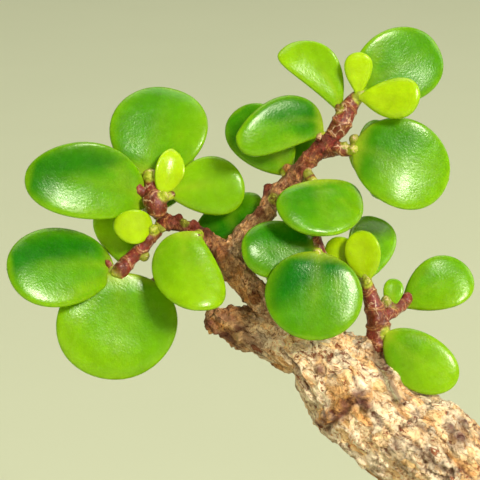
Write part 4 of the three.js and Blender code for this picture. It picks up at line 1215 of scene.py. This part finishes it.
def soil():
    """The bed under the grains, with an uneven top."""
    levels = np.linspace(POT_FLOOR + SOIL_GAP, SOIL_EDGE_LEVEL - 1.2, 6)
    rings = list(oval_rings([(inner_inset(level) + SOIL_GAP, level) for level in levels], SOIL_SIDES))
    rim = rings[-1]
    for part in np.linspace(1, 0.04, 34):
        ring = rim * np.array([part, part, 1])
        ring[:, 2] = soil_level(ring) - BED_SINK + 0.35 * fractal(ring / 1.7, 3, 12)
        rings.append(ring)
    top = np.array([0, 0, soil_level(np.zeros((1, 3)))[0] - BED_SINK])
    verts, faces = lathe(np.array(rings), np.array([0, 0, POT_FLOOR + SOIL_GAP]), top)
    return make("soil_bed", verts, faces, SOIL, True)


def grains():
    """Baked clay and lava grains, packed over the bed."""
    shape = bmesh.new()
    bmesh.ops.create_icosphere(shape, subdivisions=2, radius=1)
    unit = np.array([v.co[:] for v in shape.verts])
    unit_faces = [[v.index for v in f.verts] for f in shape.faces]
    shape.free()
    parts, tints, spots = [], [], []
    reach = np.array([POT_LENGTH / 2, POT_DEPTH / 2]) - inner_inset(SOIL_EDGE_LEVEL)
    while len(parts) < GRAIN_COUNT:
        size = rng.uniform(*(LARGE_GRAINS if rng.random() < LARGE_SHARE else SMALL_GRAINS))
        x, y = rng.uniform(-1, 1, 2) * reach
        inner = reach - size - 0.25
        if (abs(x) / inner[0]) ** OVAL_POWER + (abs(y) / inner[1]) ** OVAL_POWER > 1:
            continue
        near = sum((a - x) ** 2 + (b - y) ** 2 < (GRAIN_SPACING * (size + r)) ** 2 for a, b, r in spots)
        if near > 1 and size > CROWDED_SIZE:
            continue
        spots.append((x, y, size))
        verts = unit * rng.uniform(0.72, 1.15, 3)
        verts = verts * (1 + 0.22 * value_noise(verts * 1.6 + len(parts) * 3.1, 4))[:, None]
        quaternion = rng.normal(size=4)
        quaternion /= np.linalg.norm(quaternion)
        turn = np.array(Quaternion(quaternion).to_matrix())
        level = soil_level(np.array([[x, y, 0.0]]))[0]
        centre = np.array([x, y, level - GRAIN_SINK + 0.25 * size * rng.random()])
        verts = verts @ turn.T * size + centre
        parts.append((verts, unit_faces))
        colour = GRAIN_COLOURS[rng.choice(len(GRAIN_COLOURS), p=GRAIN_SHARES)] * rng.uniform(0.75, 1.2)
        tints.append(np.tile(colour, (len(verts), 1)))
    verts, faces = joined(parts)
    return make("soil_grains", verts, faces, GRAINS, False, np.vstack(tints))


dress(pot(), "pot")
dress(soil(), "soil")
dress(grains(), "soil")

# Floor, light and camera
FLOOR_REACH, FLOOR_LEVEL = 8000.0, -0.05
LENS, SENSOR_WIDTH, NEAR_CLIP, FAR_CLIP = 180, 36, 0.01, 50
AIM = Vector(CROWN_CENTRE * MM)

corners = [(x * FLOOR_REACH, y * FLOOR_REACH, FLOOR_LEVEL)
           for x, y in ((-1, -1), (1, -1), (1, 1), (-1, 1))]
floor = make("floor", corners, [[0, 1, 2, 3]], FLOOR, False)


def lamp(name, azimuth, elevation, distance, size, power, colour, mirrored=True):
    """A square soft light aimed at the crown. Azimuth 0 is the camera's side, 90 the right."""
    a, e = math.radians(azimuth), math.radians(elevation)
    data = bpy.data.lights.new(name, "AREA")
    data.size, data.energy, data.color = size, power, colour
    obj = added(name, data)
    out = Vector((math.sin(a) * math.cos(e), -math.cos(a) * math.cos(e), math.sin(e)))
    obj.location = AIM + out * distance
    obj.rotation_euler = (-out).to_track_quat("-Z", "Y").to_euler()
    obj.visible_camera = False
    obj.visible_glossy = mirrored


lamp("key", 42, 36, 1.6, 0.42, 27, (1.0, 0.98, 0.92))
lamp("left", -80, 30, 2.0, 1.2, 9, (1.0, 1.0, 0.95), False)
lamp("right", 110, 25, 2.0, 1.0, 7, (1.0, 0.99, 0.94))
lamp("top", 170, 70, 2.0, 1.6, 18, (1.0, 0.99, 0.94))
lamp("front", -8, 14, 2.2, 1.4, 12, (1.0, 0.98, 0.93), False)

world = bpy.data.worlds.new("world")
world.use_nodes = True
background = world.node_tree.nodes["Background"].inputs
background["Color"].default_value = (0.96, 0.95, 0.66, 1)
background["Strength"].default_value = 0.12
bpy.context.scene.world = world
bpy.context.scene.view_settings.view_transform = "Standard"

camera_data = bpy.data.cameras.new("camera")
camera_data.lens, camera_data.sensor_width = LENS, SENSOR_WIDTH
camera_data.clip_start, camera_data.clip_end = NEAR_CLIP, FAR_CLIP
camera = added("camera", camera_data)
camera.location = AIM + Vector((0, -COS, SIN)) * VIEW_DISTANCE * MM
camera.rotation_euler = Vector((0, COS, -SIN)).to_track_quat("-Z", "Y").to_euler()
bpy.context.scene.camera = camera
